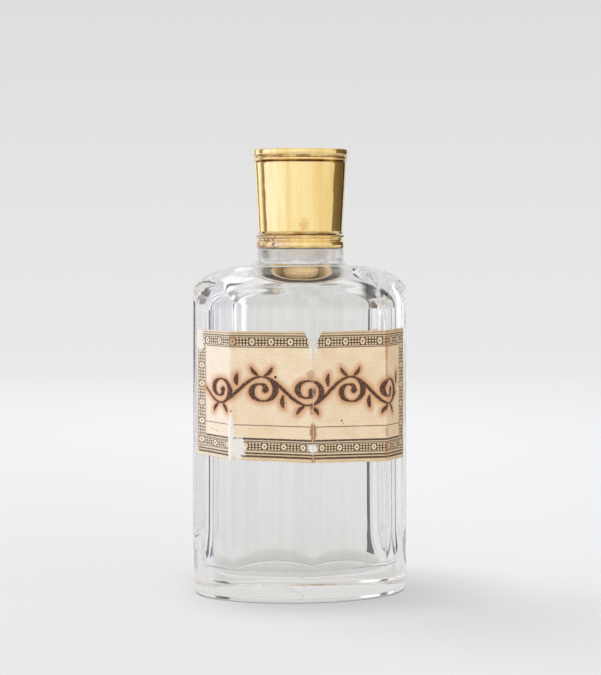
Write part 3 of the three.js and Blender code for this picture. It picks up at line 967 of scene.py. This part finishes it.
def label_lift(along, height):
    """How far the paper stands off the glass: lifted along the tear, wrinkled at the folds."""
    from_tear = np.maximum(np.abs(along) - notch_width(height), 0)
    curl = TEAR_CURL[0] * np.exp(-from_tear / TEAR_CURL[1]) * (0.6 + 0.4 * smooth_noise(height, 11, base=0.4))
    from_fold = np.minimum(np.abs(along - FOLD_PLACE), np.abs(along + FOLD_PLACE))
    fold = FOLD_RIDGE[0] * np.exp(-(from_fold / FOLD_RIDGE[1]) ** 2)
    fold = fold * (0.7 + 0.5 * smooth_noise(height, 12, base=0.8))
    from_edge = np.minimum(np.abs(height - label_bottom(along)), np.abs(height - LABEL_TOP))
    edge = EDGE_CURL[0] * np.exp(-from_edge / EDGE_CURL[1]) * (0.5 + 0.5 * smooth_noise(along, 13, base=0.5))
    wrinkle = WRINKLE_ALLOWANCE + WRINKLE * smooth_noise(along * 0.9 + height * 0.35, 14, waves=9, base=0.5)
    return LABEL_GLUE_GAP + sum(np.maximum(lift, 0) for lift in (curl, fold, edge)) + wrinkle


# ---- the pen ornament on the label: a running vine of scrolls ----

SCROLL_COUNT = 5
SCROLL_SPACING = 11.0
SCROLL_CENTRE = -1.25
VINE_LEVEL = 16.9
VINE_SWAY = 3.3
SCROLL_STRETCH = 1.16
SCROLL_TURNS = 1.22
SCROLL_EYE = 0.8
PEN_THICK = 1.45
PEN_THIN = 0.38
STEM_THICK = 1.1
BALL_WIDTH = 1.5
LEAF_STEPS = 16
INK_MARGIN = 3
FAR_FROM_INK = 9.0


def pen_stroke(points, thick=PEN_THICK):
    """The stroke of a broad pen: thick where it runs up or down, thin where it runs across and at its ends.

    It gives the stroke's points and its width at each.
    """
    run = np.gradient(points, axis=0)
    steepness = np.abs(run[:, 1]) / np.maximum(np.hypot(*run.T), 1e-9)
    share = np.linspace(0, 1, len(points))
    ends = np.minimum(1, np.minimum(share, 1 - share) * 9)
    return points, PEN_THIN + (thick - PEN_THIN) * steepness ** 1.4 * ends


def vine_stem(start, end):
    """The stem, which runs below one scroll and above the next."""
    along = np.linspace(start, end, 170)
    level = VINE_LEVEL - VINE_SWAY * np.cos(math.pi * (along - SCROLL_CENTRE) / SCROLL_SPACING)
    return pen_stroke(np.column_stack((along, level)), STEM_THICK)


def scroll(middle, upward):
    """One scroll: it leaves the stem below or above its middle, curls round and ends in a ball."""
    share = np.linspace(0, 1, 80)
    reach = (VINE_SWAY - SCROLL_EYE) * (1 - share) ** 0.75 + SCROLL_EYE
    angle = upward * (2 * math.pi * SCROLL_TURNS * share - math.pi / 2)
    across = middle + SCROLL_STRETCH * reach * np.cos(angle)
    points = np.column_stack((across, VINE_LEVEL + reach * np.sin(angle)))
    ball = np.vstack((points[-1], points[-1] + (0.1, 0.1)))
    return [pen_stroke(points), (ball, np.full(2, BALL_WIDTH))]


def leaf(base, angle, length, widest, bend):
    """A curved drop that swells in its middle."""
    share = np.linspace(0, 1, LEAF_STEPS)
    turn = angle + bend * share
    steps = np.column_stack((np.cos(turn), np.sin(turn))) * (length / (LEAF_STEPS - 1))
    points = np.array(base) + np.vstack(((0, 0), np.cumsum(steps[:-1], axis=0)))
    return points, widest * np.sin(math.pi * (0.06 + 0.92 * share)) ** 0.8 + 0.05


def scroll_leaves(middle, upward):
    """Leaves outside the stem at one scroll, a pair at the crest and one where the stem crosses over."""
    crest = VINE_LEVEL - upward * VINE_SWAY
    outward = -upward * math.pi / 2
    leaves = []
    for side in (-1, 1):
        base = (middle + side * 0.8, crest - upward * 0.35)
        leaves.append(leaf(base, outward + side * upward * 1.15, 2.7, 0.85, -side * upward * 0.9))
    crossing = (middle + 0.47 * SCROLL_SPACING, VINE_LEVEL + upward * 1.2)
    leaves.append(leaf(crossing, upward * 1.9, 3.0, 1.0, -upward * 0.8))
    return leaves


def ornament_strokes():
    half_length = SCROLL_COUNT * SCROLL_SPACING / 2
    strokes = [vine_stem(SCROLL_CENTRE - half_length, SCROLL_CENTRE + half_length - 0.8)]
    for number in range(SCROLL_COUNT):
        place = number - SCROLL_COUNT // 2
        middle = SCROLL_CENTRE + place * SCROLL_SPACING
        upward = 1 if place % 2 == 0 else -1
        strokes.extend(scroll(middle, upward))
        strokes.extend(scroll_leaves(middle, upward))
    return strokes


def ink_distance(along, up):
    """Distance from each place to the nearest pen stroke's edge, in millimetres, below 0 inside it."""
    nearest = np.full(along.shape, FAR_FROM_INK)
    for points, widths in ornament_strokes():
        low, high = points.min(axis=0) - INK_MARGIN, points.max(axis=0) + INK_MARGIN
        near = (along > low[0]) & (along < high[0]) & (up > low[1]) & (up < high[1])
        if not near.any():
            continue
        places = np.column_stack((along[near], up[near]))
        best = nearest[near]
        for start, end, start_width, end_width in zip(points[:-1], points[1:], widths[:-1], widths[1:]):
            run = end - start
            share = np.clip(((places - start) @ run) / max(run @ run, 1e-9), 0, 1)
            gap = np.linalg.norm(places - start - share[:, None] * run, axis=1)
            best = np.minimum(best, gap - (start_width + (end_width - start_width) * share) / 2)
        nearest[near] = best
    return nearest


# ---- the label's printed border ----

# Rules as (from, to, ink) in millimetres from the edge of the paper that they follow.
TOP_RULES = ((0.30, 0.55, 0.6), (0.85, 1.20, 0.9), (3.60, 3.86, 0.9))
BOTTOM_RULES = ((0.80, 1.30, 1.0), (1.56, 1.98, 1.0), (2.32, 2.54, 0.8), (4.50, 4.78, 0.9), (4.98, 5.46, 1.0))
SIDE_RULES = ((0.12, 0.28, 0.6), (3.16, 3.34, 0.8))
WRITING_RULE = ((8.38, 8.60, 0.85),)
TOP_BAND = (1.40, 3.45)
BOTTOM_BAND = (2.60, 4.40)
SIDE_BAND = (0.40, 3.05)
MOTIF_PERIOD = 4.6
DOTS_SHARE = 0.68
DOT_COLUMNS = 4
DOT_ROWS = 3
RING_PHASE = 0.84
RING_STRETCH = 0.62
CORNER_WIDTH = 3.2
RULE_SOFTNESS = 0.06


def printed_rules(graph, distance, rules):
    return graph.most(*[
        graph.times(graph.band(distance, low, high, RULE_SOFTNESS), ink) for low, high, ink in rules
    ])


def printed_motif(graph, run, across):
    """Blocks of light dots, and between them a light ring with a dot in it. across runs from 0 to 1."""
    period = graph.math("DIVIDE", graph.add(run, 100 * MOTIF_PERIOD), MOTIF_PERIOD)
    phase = graph.math("FRACT", period)
    dot_x = graph.math("FRACT", graph.times(phase, DOT_COLUMNS / DOTS_SHARE))
    dot_y = graph.math("FRACT", graph.times(across, DOT_ROWS))
    dot_reach = graph.length(graph.subtract(dot_x, 0.5), graph.subtract(dot_y, 0.5))
    dots = graph.times(graph.fade(dot_reach, 0.42, 0.24), graph.band(phase, 0.01, DOTS_SHARE, 0.012))
    ring_x = graph.times(graph.subtract(phase, RING_PHASE), MOTIF_PERIOD * RING_STRETCH)
    ring = graph.band(graph.length(ring_x, graph.subtract(across, 0.5)), 0.13, 0.40, 0.05)
    return graph.inverse(graph.most(dots, ring))


def printed_band(graph, distance, band, run):
    across = graph.math("DIVIDE", graph.subtract(distance, band[0]), band[1] - band[0])
    inside = graph.band(distance, band[0], band[1], RULE_SOFTNESS)
    return graph.times(inside, printed_motif(graph, run, across))


def printed_border(graph, along, up):
    """Ink of the printed border and the ruled lines, from 0 to 1."""
    left = graph.add(along, LABEL_LEFT_WIDTH)
    right = graph.subtract(LABEL_RIGHT_WIDTH, along)
    to_side = graph.least(left, right)
    to_top = graph.subtract(PRINT_HEIGHT, up)
    beside_top = graph.math("GREATER_THAN", graph.subtract(to_side, to_top), 0.0)
    beside_bottom = graph.math("GREATER_THAN", to_side, CORNER_WIDTH)
    in_from_edge = graph.math("GREATER_THAN", to_side, 0.4)
    top = graph.most(printed_rules(graph, to_top, TOP_RULES), printed_band(graph, to_top, TOP_BAND, along))
    top = graph.times(top, beside_top)
    low_band = printed_band(graph, up, BOTTOM_BAND, graph.add(along, 1.6))
    bottom = graph.most(printed_rules(graph, up, BOTTOM_RULES[2:]), low_band)
    bottom = graph.times(bottom, beside_bottom)
    bottom = graph.most(bottom, graph.times(printed_rules(graph, up, BOTTOM_RULES[:2]), in_from_edge))
    sides = graph.most(
        printed_rules(graph, to_side, SIDE_RULES),
        graph.times(printed_band(graph, to_side, SIDE_BAND, up), 0.85),
    )
    sides = graph.times(sides, graph.inverse(beside_top))
    sides = graph.times(sides, graph.fade(up, 2.1, 2.3))
    writing = graph.times(printed_rules(graph, up, WRITING_RULE), beside_bottom)
    return graph.most(top, bottom, sides, writing)


# ---- the label's paper, age and dirt ----

PAPER_PALE = (0.98, 0.79, 0.56)
PAPER_TAN = (0.92, 0.70, 0.45)
PAPER_WORN_AND_LIT = (0.93, 0.88, 0.79)
PAPER_BACK = (0.94, 0.80, 0.60)
EDGE_TONING = 5.0
LAID_PITCH = 1.05
PAPER_ROUGHNESS = (0.72, 0.9)
WORN_AND_LIT_SIDE = (-18.6, -21.0)
PAPER_SHADED = (0.66, 0.45, 0.23)
PRINT_INK = (0.075, 0.038, 0.018)
PEN_INK = (0.046, 0.017, 0.014)
PEN_HALO = (0.66, 0.27, 0.09)
GLUE_BROWN = (0.42, 0.17, 0.045)
FLY_SPOT = (0.01, 0.01, 0.012)

# Marks of age as (along, up, half width, half height, colour, strength), in millimetres from the tear and
# from the label's foot. Ink spots are (along, up, radius, colour).
PAPER_MARKS = (
    (-19.6, 5.0, 0.75, 6.8, PAPER_WORN_AND_LIT, 1.0),
    (-17.9, 2.9, 1.9, 2.9, PAPER_WORN_AND_LIT, 1.0),
    (-0.5, 27.2, 0.45, 2.0, PAPER_WORN_AND_LIT, 0.8),
    (0.6, 27.6, 0.45, 2.0, PAPER_WORN_AND_LIT, 0.8),
    (0.0, 3.4, 1.1, 1.0, PAPER_WORN_AND_LIT, 1.0),
    (-31.4, 28.5, 1.6, 2.8, PAPER_WORN_AND_LIT, 0.8),
    (0.0, 7.2, 0.75, 2.3, GLUE_BROWN, 0.9),
    (-0.5, 20.8, 0.9, 1.2, GLUE_BROWN, 0.5),
    (0.3, 17.0, 0.5, 1.6, GLUE_BROWN, 0.35),
    (-0.2, 12.4, 0.55, 1.2, GLUE_BROWN, 0.6),
    (0.0, 0.9, 0.5, 1.0, GLUE_BROWN, 0.7),
    (-19.2, 28.6, 0.8, 1.3, GLUE_BROWN, 0.5),
    (FOLD_PLACE, 27.5, 0.45, 3.5, GLUE_BROWN, 0.6),
    (FOLD_PLACE, 21.5, 0.3, 3.0, GLUE_BROWN, 0.55),
    (FOLD_PLACE + 0.3, 7.0, 0.8, 1.2, GLUE_BROWN, 0.35),
    (FOLD_PLACE, 2.6, 0.5, 1.8, GLUE_BROWN, 0.6),
)
INK_SPOTS = (
    (-8.9, 20.2, 0.30, FLY_SPOT),
    (7.4, 9.9, 0.20, PRINT_INK),
    (7.8, 9.3, 0.12, PRINT_INK),
    (-26.6, 6.9, 0.16, PRINT_INK),
    (-25.6, 6.7, 0.12, PRINT_INK),
    (-24.7, 6.5, 0.13, PRINT_INK),
    (-19.5, 11.7, 0.18, PRINT_INK),
)


def paper_mark(graph, along, up, mark, wander):
    """A soft-edged, uneven patch, from 0 to 1."""
    place_along, place_up, half_width, half_height, _, strength = mark
    across = graph.math("DIVIDE", graph.subtract(along, place_along), half_width)
    height = graph.math("DIVIDE", graph.subtract(up, place_up), half_height)
    reach = graph.add(graph.length(across, height), wander)
    return graph.times(graph.fade(reach, 1.15, 0.75), strength)


def paper_colour(graph, along, up, sheet, fibres):
    """Rag paper with faint laid lines: worn and painted paler as if lit beyond the left fold, and painted
    shade beyond the right one.
    """
    clouds = graph.noise(sheet, 0.22, detail=5, roughness=0.6)
    colour = graph.mix(graph.fade(clouds, 0.35, 0.7), PAPER_PALE, PAPER_TAN)
    laid_wave = graph.math("SINE", graph.times(up, 2 * math.pi / LAID_PITCH))
    laid_break = graph.noise(graph.join(graph.times(along, 0.5), up), 0.9, detail=4)
    laid = graph.times(graph.fade(laid_wave, 0.1, 1.0), graph.fade(laid_break, 0.42, 0.62))
    colour = graph.paint(colour, PAPER_SHADED, laid, 0.15)
    colour = graph.paint(colour, PAPER_SHADED, graph.fade(fibres, 0.50, 0.70), 0.42)
    to_side = graph.least(graph.add(along, LABEL_LEFT_WIDTH), graph.subtract(LABEL_RIGHT_WIDTH, along))
    to_edge = graph.least(to_side, up, graph.subtract(PRINT_HEIGHT, up))
    toasted = graph.times(graph.fade(to_edge, EDGE_TONING, 0.0), graph.scale(clouds, 0.2, 0.75))
    colour = graph.paint(colour, PAPER_SHADED, toasted)
    # Beyond the left fold the paper is worn and painted paler: painted light on the face turned to the key
    # light.
    worn_and_lit_side = graph.times(graph.fade(along, *WORN_AND_LIT_SIDE), graph.scale(clouds, 0.35, 1.0))
    colour = graph.paint(colour, PAPER_WORN_AND_LIT, worn_and_lit_side, 0.55)
    # Beyond the right fold the paper is painted darker: painted shade on the face turned from the light.
    shaded_side = graph.fade(along, FOLD_PLACE - 0.3, FOLD_PLACE + 0.4)
    return graph.mix(graph.times(shaded_side, 0.32), colour, PAPER_SHADED)


def paper_sheet(graph):
    """Place on the flat sheet along and up, distance to the pen's ink, and the paper's fibres."""
    along, up, ink_edge = graph.split(graph.attribute("flat"))
    sheet = graph.join(along, up)
    return along, up, ink_edge, sheet, graph.noise(sheet, 2.4, detail=6, roughness=0.7)


def label_material():
    """The printed and written face of the paper."""
    material, graph = new_material("label_paper")
    along, up, ink_edge, sheet, fibres = paper_sheet(graph)
    blots = graph.noise(sheet, 1.1, detail=5, roughness=0.65)
    colour = paper_colour(graph, along, up, sheet, fibres)

    worn = graph.scale(graph.fade(along, -21.5, -18.0), 0.05, 0.0)
    kept = graph.fade(graph.subtract(graph.noise(sheet, 3.0, detail=5, roughness=0.75), worn), 0.33, 0.47)
    print_ink = graph.times(printed_border(graph, along, up), graph.scale(kept, 0.15, 1.0))
    colour = graph.paint(colour, PRINT_INK, print_ink)

    edge = graph.add(ink_edge, graph.times(graph.subtract(blots, 0.5), 0.45))
    halo = graph.math("POWER", graph.fade(edge, 1.9, -0.2), 1.3)
    colour = graph.paint(colour, PEN_HALO, halo, 0.80)
    faded_pen = graph.scale(graph.fade(fibres, 0.62, 0.48), 0.66, 0.97)
    colour = graph.paint(colour, PEN_INK, graph.times(graph.fade(edge, 0.14, -0.10), faded_pen))

    wander = graph.times(graph.subtract(blots, 0.5), 1.7)
    for mark in PAPER_MARKS:
        colour = graph.paint(colour, mark[4], paper_mark(graph, along, up, mark, wander))
    for spot_along, spot_up, radius, ink in INK_SPOTS:
        from_spot = graph.distance(sheet, (spot_along, spot_up, 0.0))
        colour = graph.paint(colour, ink, graph.fade(from_spot, radius * 1.3, radius * 0.8))

    graph.surface(graph.principled(
        Base_Color=colour,
        Roughness=graph.scale(fibres, *PAPER_ROUGHNESS),
        Normal=graph.bump(graph.add(fibres, blots), 0.35, 0.00012),
    ))
    return material


def label_back_material():
    """The glued side of the paper, which shows through the glass: unprinted, with stains of old glue."""
    material, graph = new_material("label_back")
    _, _, ink_edge, sheet, fibres = paper_sheet(graph)
    stains = graph.noise(sheet, (0.10, 0.22, 1.0), detail=5, roughness=0.6, distortion=0.6)
    colour = graph.mix(graph.fade(fibres, 0.35, 0.7), PAPER_BACK, PAPER_TAN)
    colour = graph.paint(colour, PAPER_SHADED, graph.fade(stains, 0.45, 0.62), 0.45)
    colour = graph.paint(colour, PEN_HALO, graph.fade(ink_edge, 0.6, -0.3), 0.16)
    graph.surface(graph.principled(
        Base_Color=colour,
        Roughness=graph.scale(fibres, *PAPER_ROUGHNESS),
        Normal=graph.bump(fibres, 0.3, 0.0001),
    ))
    return material


def make_label_half(name, node, side, path, printed, plain):
    """One half of the label: a front and a back sheet joined round their rim."""
    along, height = label_sheet(side)
    rows, columns = along.shape
    points, normals = path.at(along)
    shrink = wall_halves(height)[0] / wall_halves(LABEL_BOTTOM_MIDDLE)[0]
    lift = label_lift(along, height)
    layers = []
    for depth in (0, LABEL_THICKNESS):
        spot = points * shrink[..., None] + normals * (lift + depth)[..., None]
        layers.append(np.dstack((spot, height)).reshape(-1, 3))
    front_first = rows * columns
    sheet_faces = grid_faces(rows, columns, wrap=False)
    front = [tuple(corner + front_first for corner in face) for face in sheet_faces]
    back = [tuple(reversed(face)) for face in sheet_faces]
    rim = (
        list(range(columns))
        + [row * columns + columns - 1 for row in range(1, rows)]
        + [(rows - 1) * columns + column for column in range(columns - 2, -1, -1)]
        + [row * columns for row in range(rows - 2, 0, -1)]
    )
    edges = [
        (start, end, end + front_first, start + front_first)
        for start, end in zip(rim, rim[1:] + rim[:1])
    ]
    faces = front + back + edges
    if side < 0:
        faces = [tuple(reversed(face)) for face in faces]
    label = new_object(name, np.vstack(layers), faces, printed)
    label.data.materials.append(plain)
    for face in label.data.polygons[len(front):len(front) + len(back)]:
        face.material_index = 1
    up = PRINT_HEIGHT * (height - label_bottom(along)) / (LABEL_TOP - label_bottom(along))
    flat = np.stack((along, up, ink_distance(along, up)), axis=-1).reshape(-1, 3)
    attribute = label.data.attributes.new("flat", "FLOAT_VECTOR", "POINT")
    attribute.data.foreach_set("vector", np.vstack((flat, flat)).astype(np.float32).ravel())
    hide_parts(node)
    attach(label, "bottle")


def make_label():
    printed = label_material()
    plain = label_back_material()
    path = GlassPath(LABEL_BOTTOM_MIDDLE)
    make_label_half("paper_label_left", "label_left", -1, path, printed, plain)
    make_label_half("paper_label_right", "label_right", 1, path, printed, plain)


# ---- stage: floor, world and lights, in metres ----

FLOOR_FADE = (0.30, 0.75)
FLOOR_GREYS = (0.80, 0.87)
FLOOR_SHADE_ACROSS = (-0.08, 0.08)

# The painted contact shadow and the painted shade line under the foot, in foot widths and depths from the
# middle.
CONTACT_REACH = (2.4, 0.95)
CONTACT_START = (0.94, 0.98)
CONTACT_SIDE = (-0.036, -0.010)
CONTACT_SHADE = 0.82
FOOT_LINE = (0.91, 0.965)
FOOT_LINE_SOFTNESS = 0.015
FOOT_LINE_SHADE = 0.45


def add_stage_piece(name, vertices, faces):
    """A piece of the studio, from vertices in metres, and the graph of its material."""
    material, graph = new_material(name)
    piece = new_object(name, np.array(vertices) / MM, faces, material)
    return piece, graph


def add_floor():
    size = FLOOR_FADE[1] * 1.05
    corners = [(-size, -size, 0), (size, -size, 0), (size, size, 0), (-size, size, 0)]
    _, graph = add_stage_piece("floor", corners, [(0, 1, 2, 3)])
    place = graph.node("ShaderNodeTexCoord", output="Object")
    across = graph.split(place)[0]
    foot_scale = (1 / (BODY_HALF_WIDTH * MM), 1 / (BODY_HALF_DEPTH * MM), 0)
    from_foot = graph.distance(graph.stretch(place, foot_scale), (0.0, 0.0, 0.0))
    contact = graph.times(graph.fade(from_foot, *CONTACT_REACH), graph.fade(from_foot, *CONTACT_START))
    contact = graph.times(contact, graph.fade(across, *CONTACT_SIDE))
    foot_line = graph.band(from_foot, *FOOT_LINE, FOOT_LINE_SOFTNESS)
    # The floor is painted darker to the left and lighter to the right: painted shade and light that even out
    # the key light's falloff.
    level = graph.scale(graph.fade(across, *FLOOR_SHADE_ACROSS), *FLOOR_GREYS)
    level = graph.times(level, graph.scale(contact, 1.0, CONTACT_SHADE))
    level = graph.times(level, graph.scale(foot_line, 1.0, FOOT_LINE_SHADE))
    matt = graph.node("ShaderNodeBsdfDiffuse", Color=graph.join(level, level, level))
    clear = graph.node("ShaderNodeBsdfTransparent")
    away = graph.distance(place, (0.0, 0.0, 0.0))
    graph.surface(graph.blend(graph.fade(away, *FLOOR_FADE), matt, clear))


# The studio's brightness. The backdrop is (sine of elevation, brightness). Each zone of light or dark
# around the flacon is (from azimuth, to azimuth, colour at each), in degrees to the camera's right.
BACKDROP = (
    (-0.19, 0.855), (-0.098, 0.831), (-0.008, 0.791), (0.053, 0.760), (0.11, 0.730), (0.5, 0.72), (0.8, 0.9),
)
ZONES = (
    (-160, -147, (1.15, 1.18, 1.25), (1.15, 1.18, 1.25)),
    (-147, -138, (0.22, 0.20, 0.17), (0.22, 0.20, 0.17)),
    (-138, -122, (1.15, 1.18, 1.25), (1.15, 1.18, 1.25)),
    (-117, -104, (0.42, 0.38, 0.32), (0.20, 0.17, 0.13)),
    (-104, -35, (1.22, 1.30, 1.80), (1.02, 1.06, 1.10)),
    (-35, 89, (1.02, 1.06, 1.10), (0.90, 0.88, 0.83)),
    (94, 132, (0.24, 0.19, 0.11), (0.13, 0.10, 0.06)),
    (132, 148, (0.05, 0.05, 0.05), (0.05, 0.05, 0.05)),
)
ZONE_SOFTNESS = 2.0
ZONE_BOTTOM = (-0.30, -0.16)
ZONE_TOP = (0.70, 0.45)
FILL_LIGHT = (1.25, 0.72)
FILL_CLIMB = (0.15, 0.6)


def backdrop_colour(graph, upward):
    """The plain backdrop, a little darker with height."""
    level = BACKDROP[0][1]
    for (low, low_value), (high, high_value) in zip(BACKDROP, BACKDROP[1:]):
        level = graph.add(level, graph.times(graph.climb(upward, low, high), high_value - low_value))
    return graph.join(level, level, level)


def add_world():
    """The backdrop, which the camera sees, and the zones and fill that light the flacon."""
    world = bpy.data.worlds.new("studio")
    world.use_nodes = True
    bpy.context.scene.world = world
    graph = Graph(world.node_tree)
    direction = graph.node("ShaderNodeTexCoord", output="Generated")
    upward = graph.split(direction)[2]
    rightward = graph.measure("DOT_PRODUCT", direction, tuple(CAMERA_RIGHT))
    forward = graph.measure("DOT_PRODUCT", direction, tuple(TOWARDS_CAMERA))
    azimuth = graph.math("DEGREES", graph.math("ARCTAN2", rightward, forward))
    plain = backdrop_colour(graph, upward)
    around = graph.times(graph.fade(upward, *ZONE_BOTTOM), graph.fade(upward, *ZONE_TOP))
    studio = plain
    for start, end, start_colour, end_colour in ZONES:
        here = graph.times(graph.band(azimuth, start, end, ZONE_SOFTNESS), around)
        zone = graph.mix(graph.climb(azimuth, start, end), start_colour, end_colour)
        studio = graph.mix(here, studio, zone)
    rays = graph.tree.nodes.new("ShaderNodeLightPath").outputs
    fill = graph.scale(graph.fade(upward, *FILL_CLIMB), *FILL_LIGHT)
    strength = graph.add(1.0, graph.times(rays["Is Diffuse Ray"], graph.subtract(fill, 1.0)))
    colour = graph.mix(rays["Is Camera Ray"], studio, plain)
    background = graph.node("ShaderNodeBackground", Color=colour, Strength=strength)
    graph.surface(background, "ShaderNodeOutputWorld")


# Cards that stand on the floor, unseen by the camera, as (from azimuth, to azimuth, grey, height). The glass
# bends them into its stripes.
CARDS = ((-128, -112, 0.14, 0.075), (94, 132, 0.85, 0.08), (132, 148, 0.05, 0.075))
CARD_DISTANCE = 0.09
CARD_TOE = 0.05
CARD_LIFT = 0.0003
CARD_COLUMNS = 24


def add_cards():
    for number, (start, end, grey, top) in enumerate(CARDS):
        corners = []
        for distance, level in ((CARD_TOE, CARD_LIFT), (CARD_DISTANCE, CARD_LIFT), (CARD_DISTANCE, top)):
            for angle in np.radians(np.linspace(start, end, CARD_COLUMNS)):
                spot = (CAMERA_RIGHT * math.sin(angle) + TOWARDS_CAMERA * math.cos(angle)) * distance
                corners.append((spot.x, spot.y, level))
        card, graph = add_stage_piece(f"card_{number}", corners, grid_faces(3, CARD_COLUMNS, wrap=False))
        graph.surface(graph.node("ShaderNodeEmission", Color=(grey, grey, grey), Strength=1.0))
        card.visible_camera = False
        card.visible_diffuse = False
        card.visible_shadow = False


KEY_ACROSS = -0.858
KEY_BACK = 0.515
KEY_DISTANCE = 1.6
KEY_ELEVATION = math.radians(46)
KEY_SIZE = 1.3
KEY_POWER = 15.0
NECK_LAMP_HEIGHT = 0.078
NECK_LAMP_POWER = 0.0036
NECK_LAMP_SPREAD = math.radians(140)
NECK_LAMP_RADIUS = 0.002


def add_light(name, kind, power):
    """A light that shows in no reflection and through no glass."""
    data = bpy.data.lights.new(name, kind)
    data.energy = power
    light = add_object(name, data)
    light.visible_glossy = False
    light.visible_transmission = False
    return light, data


def add_key_light():
    """The soft main light, high up behind the flacon and to the camera's left."""
    key, data = add_light("key", "AREA", KEY_POWER)
    data.shape = "SQUARE"
    data.size = KEY_SIZE
    flat = CAMERA_RIGHT * KEY_ACROSS - TOWARDS_CAMERA * KEY_BACK
    key.location = flat * (KEY_DISTANCE * math.cos(KEY_ELEVATION))
    key.location.z = KEY_DISTANCE * math.sin(KEY_ELEVATION)
    key.rotation_euler = (-key.location).to_track_quat("-Z", "Y").to_euler()


def add_neck_lamp():
    """The light that thick glass gathers under the collar, which a path through it seldom finds."""
    lamp, data = add_light("neck_lamp", "SPOT", NECK_LAMP_POWER)
    data.spot_size = NECK_LAMP_SPREAD
    data.spot_blend = 0.5
    data.shadow_soft_size = NECK_LAMP_RADIUS
    lamp.location = (0, 0, NECK_LAMP_HEIGHT)
    lamp.rotation_euler = (math.pi, 0, 0)
    lamp.visible_camera = False


# ---- build ----

GLASS_BOUNCES = 64


def build():
    add_camera()
    make_bottle(glass_material("cut_glass"))
    make_stopper(glass_material("stopper_glass"))
    gilt = gilt_material()
    make_collar(gilt)
    make_cap(gilt)
    make_hidden_fillings()
    make_label()
    add_floor()
    add_world()
    add_cards()
    add_key_light()
    add_neck_lamp()
    scene = bpy.context.scene
    scene.view_settings.view_transform = "Standard"
    for kind in ("max_bounces", "transmission_bounces", "glossy_bounces"):
        setattr(scene.cycles, kind, GLASS_BOUNCES)


build()
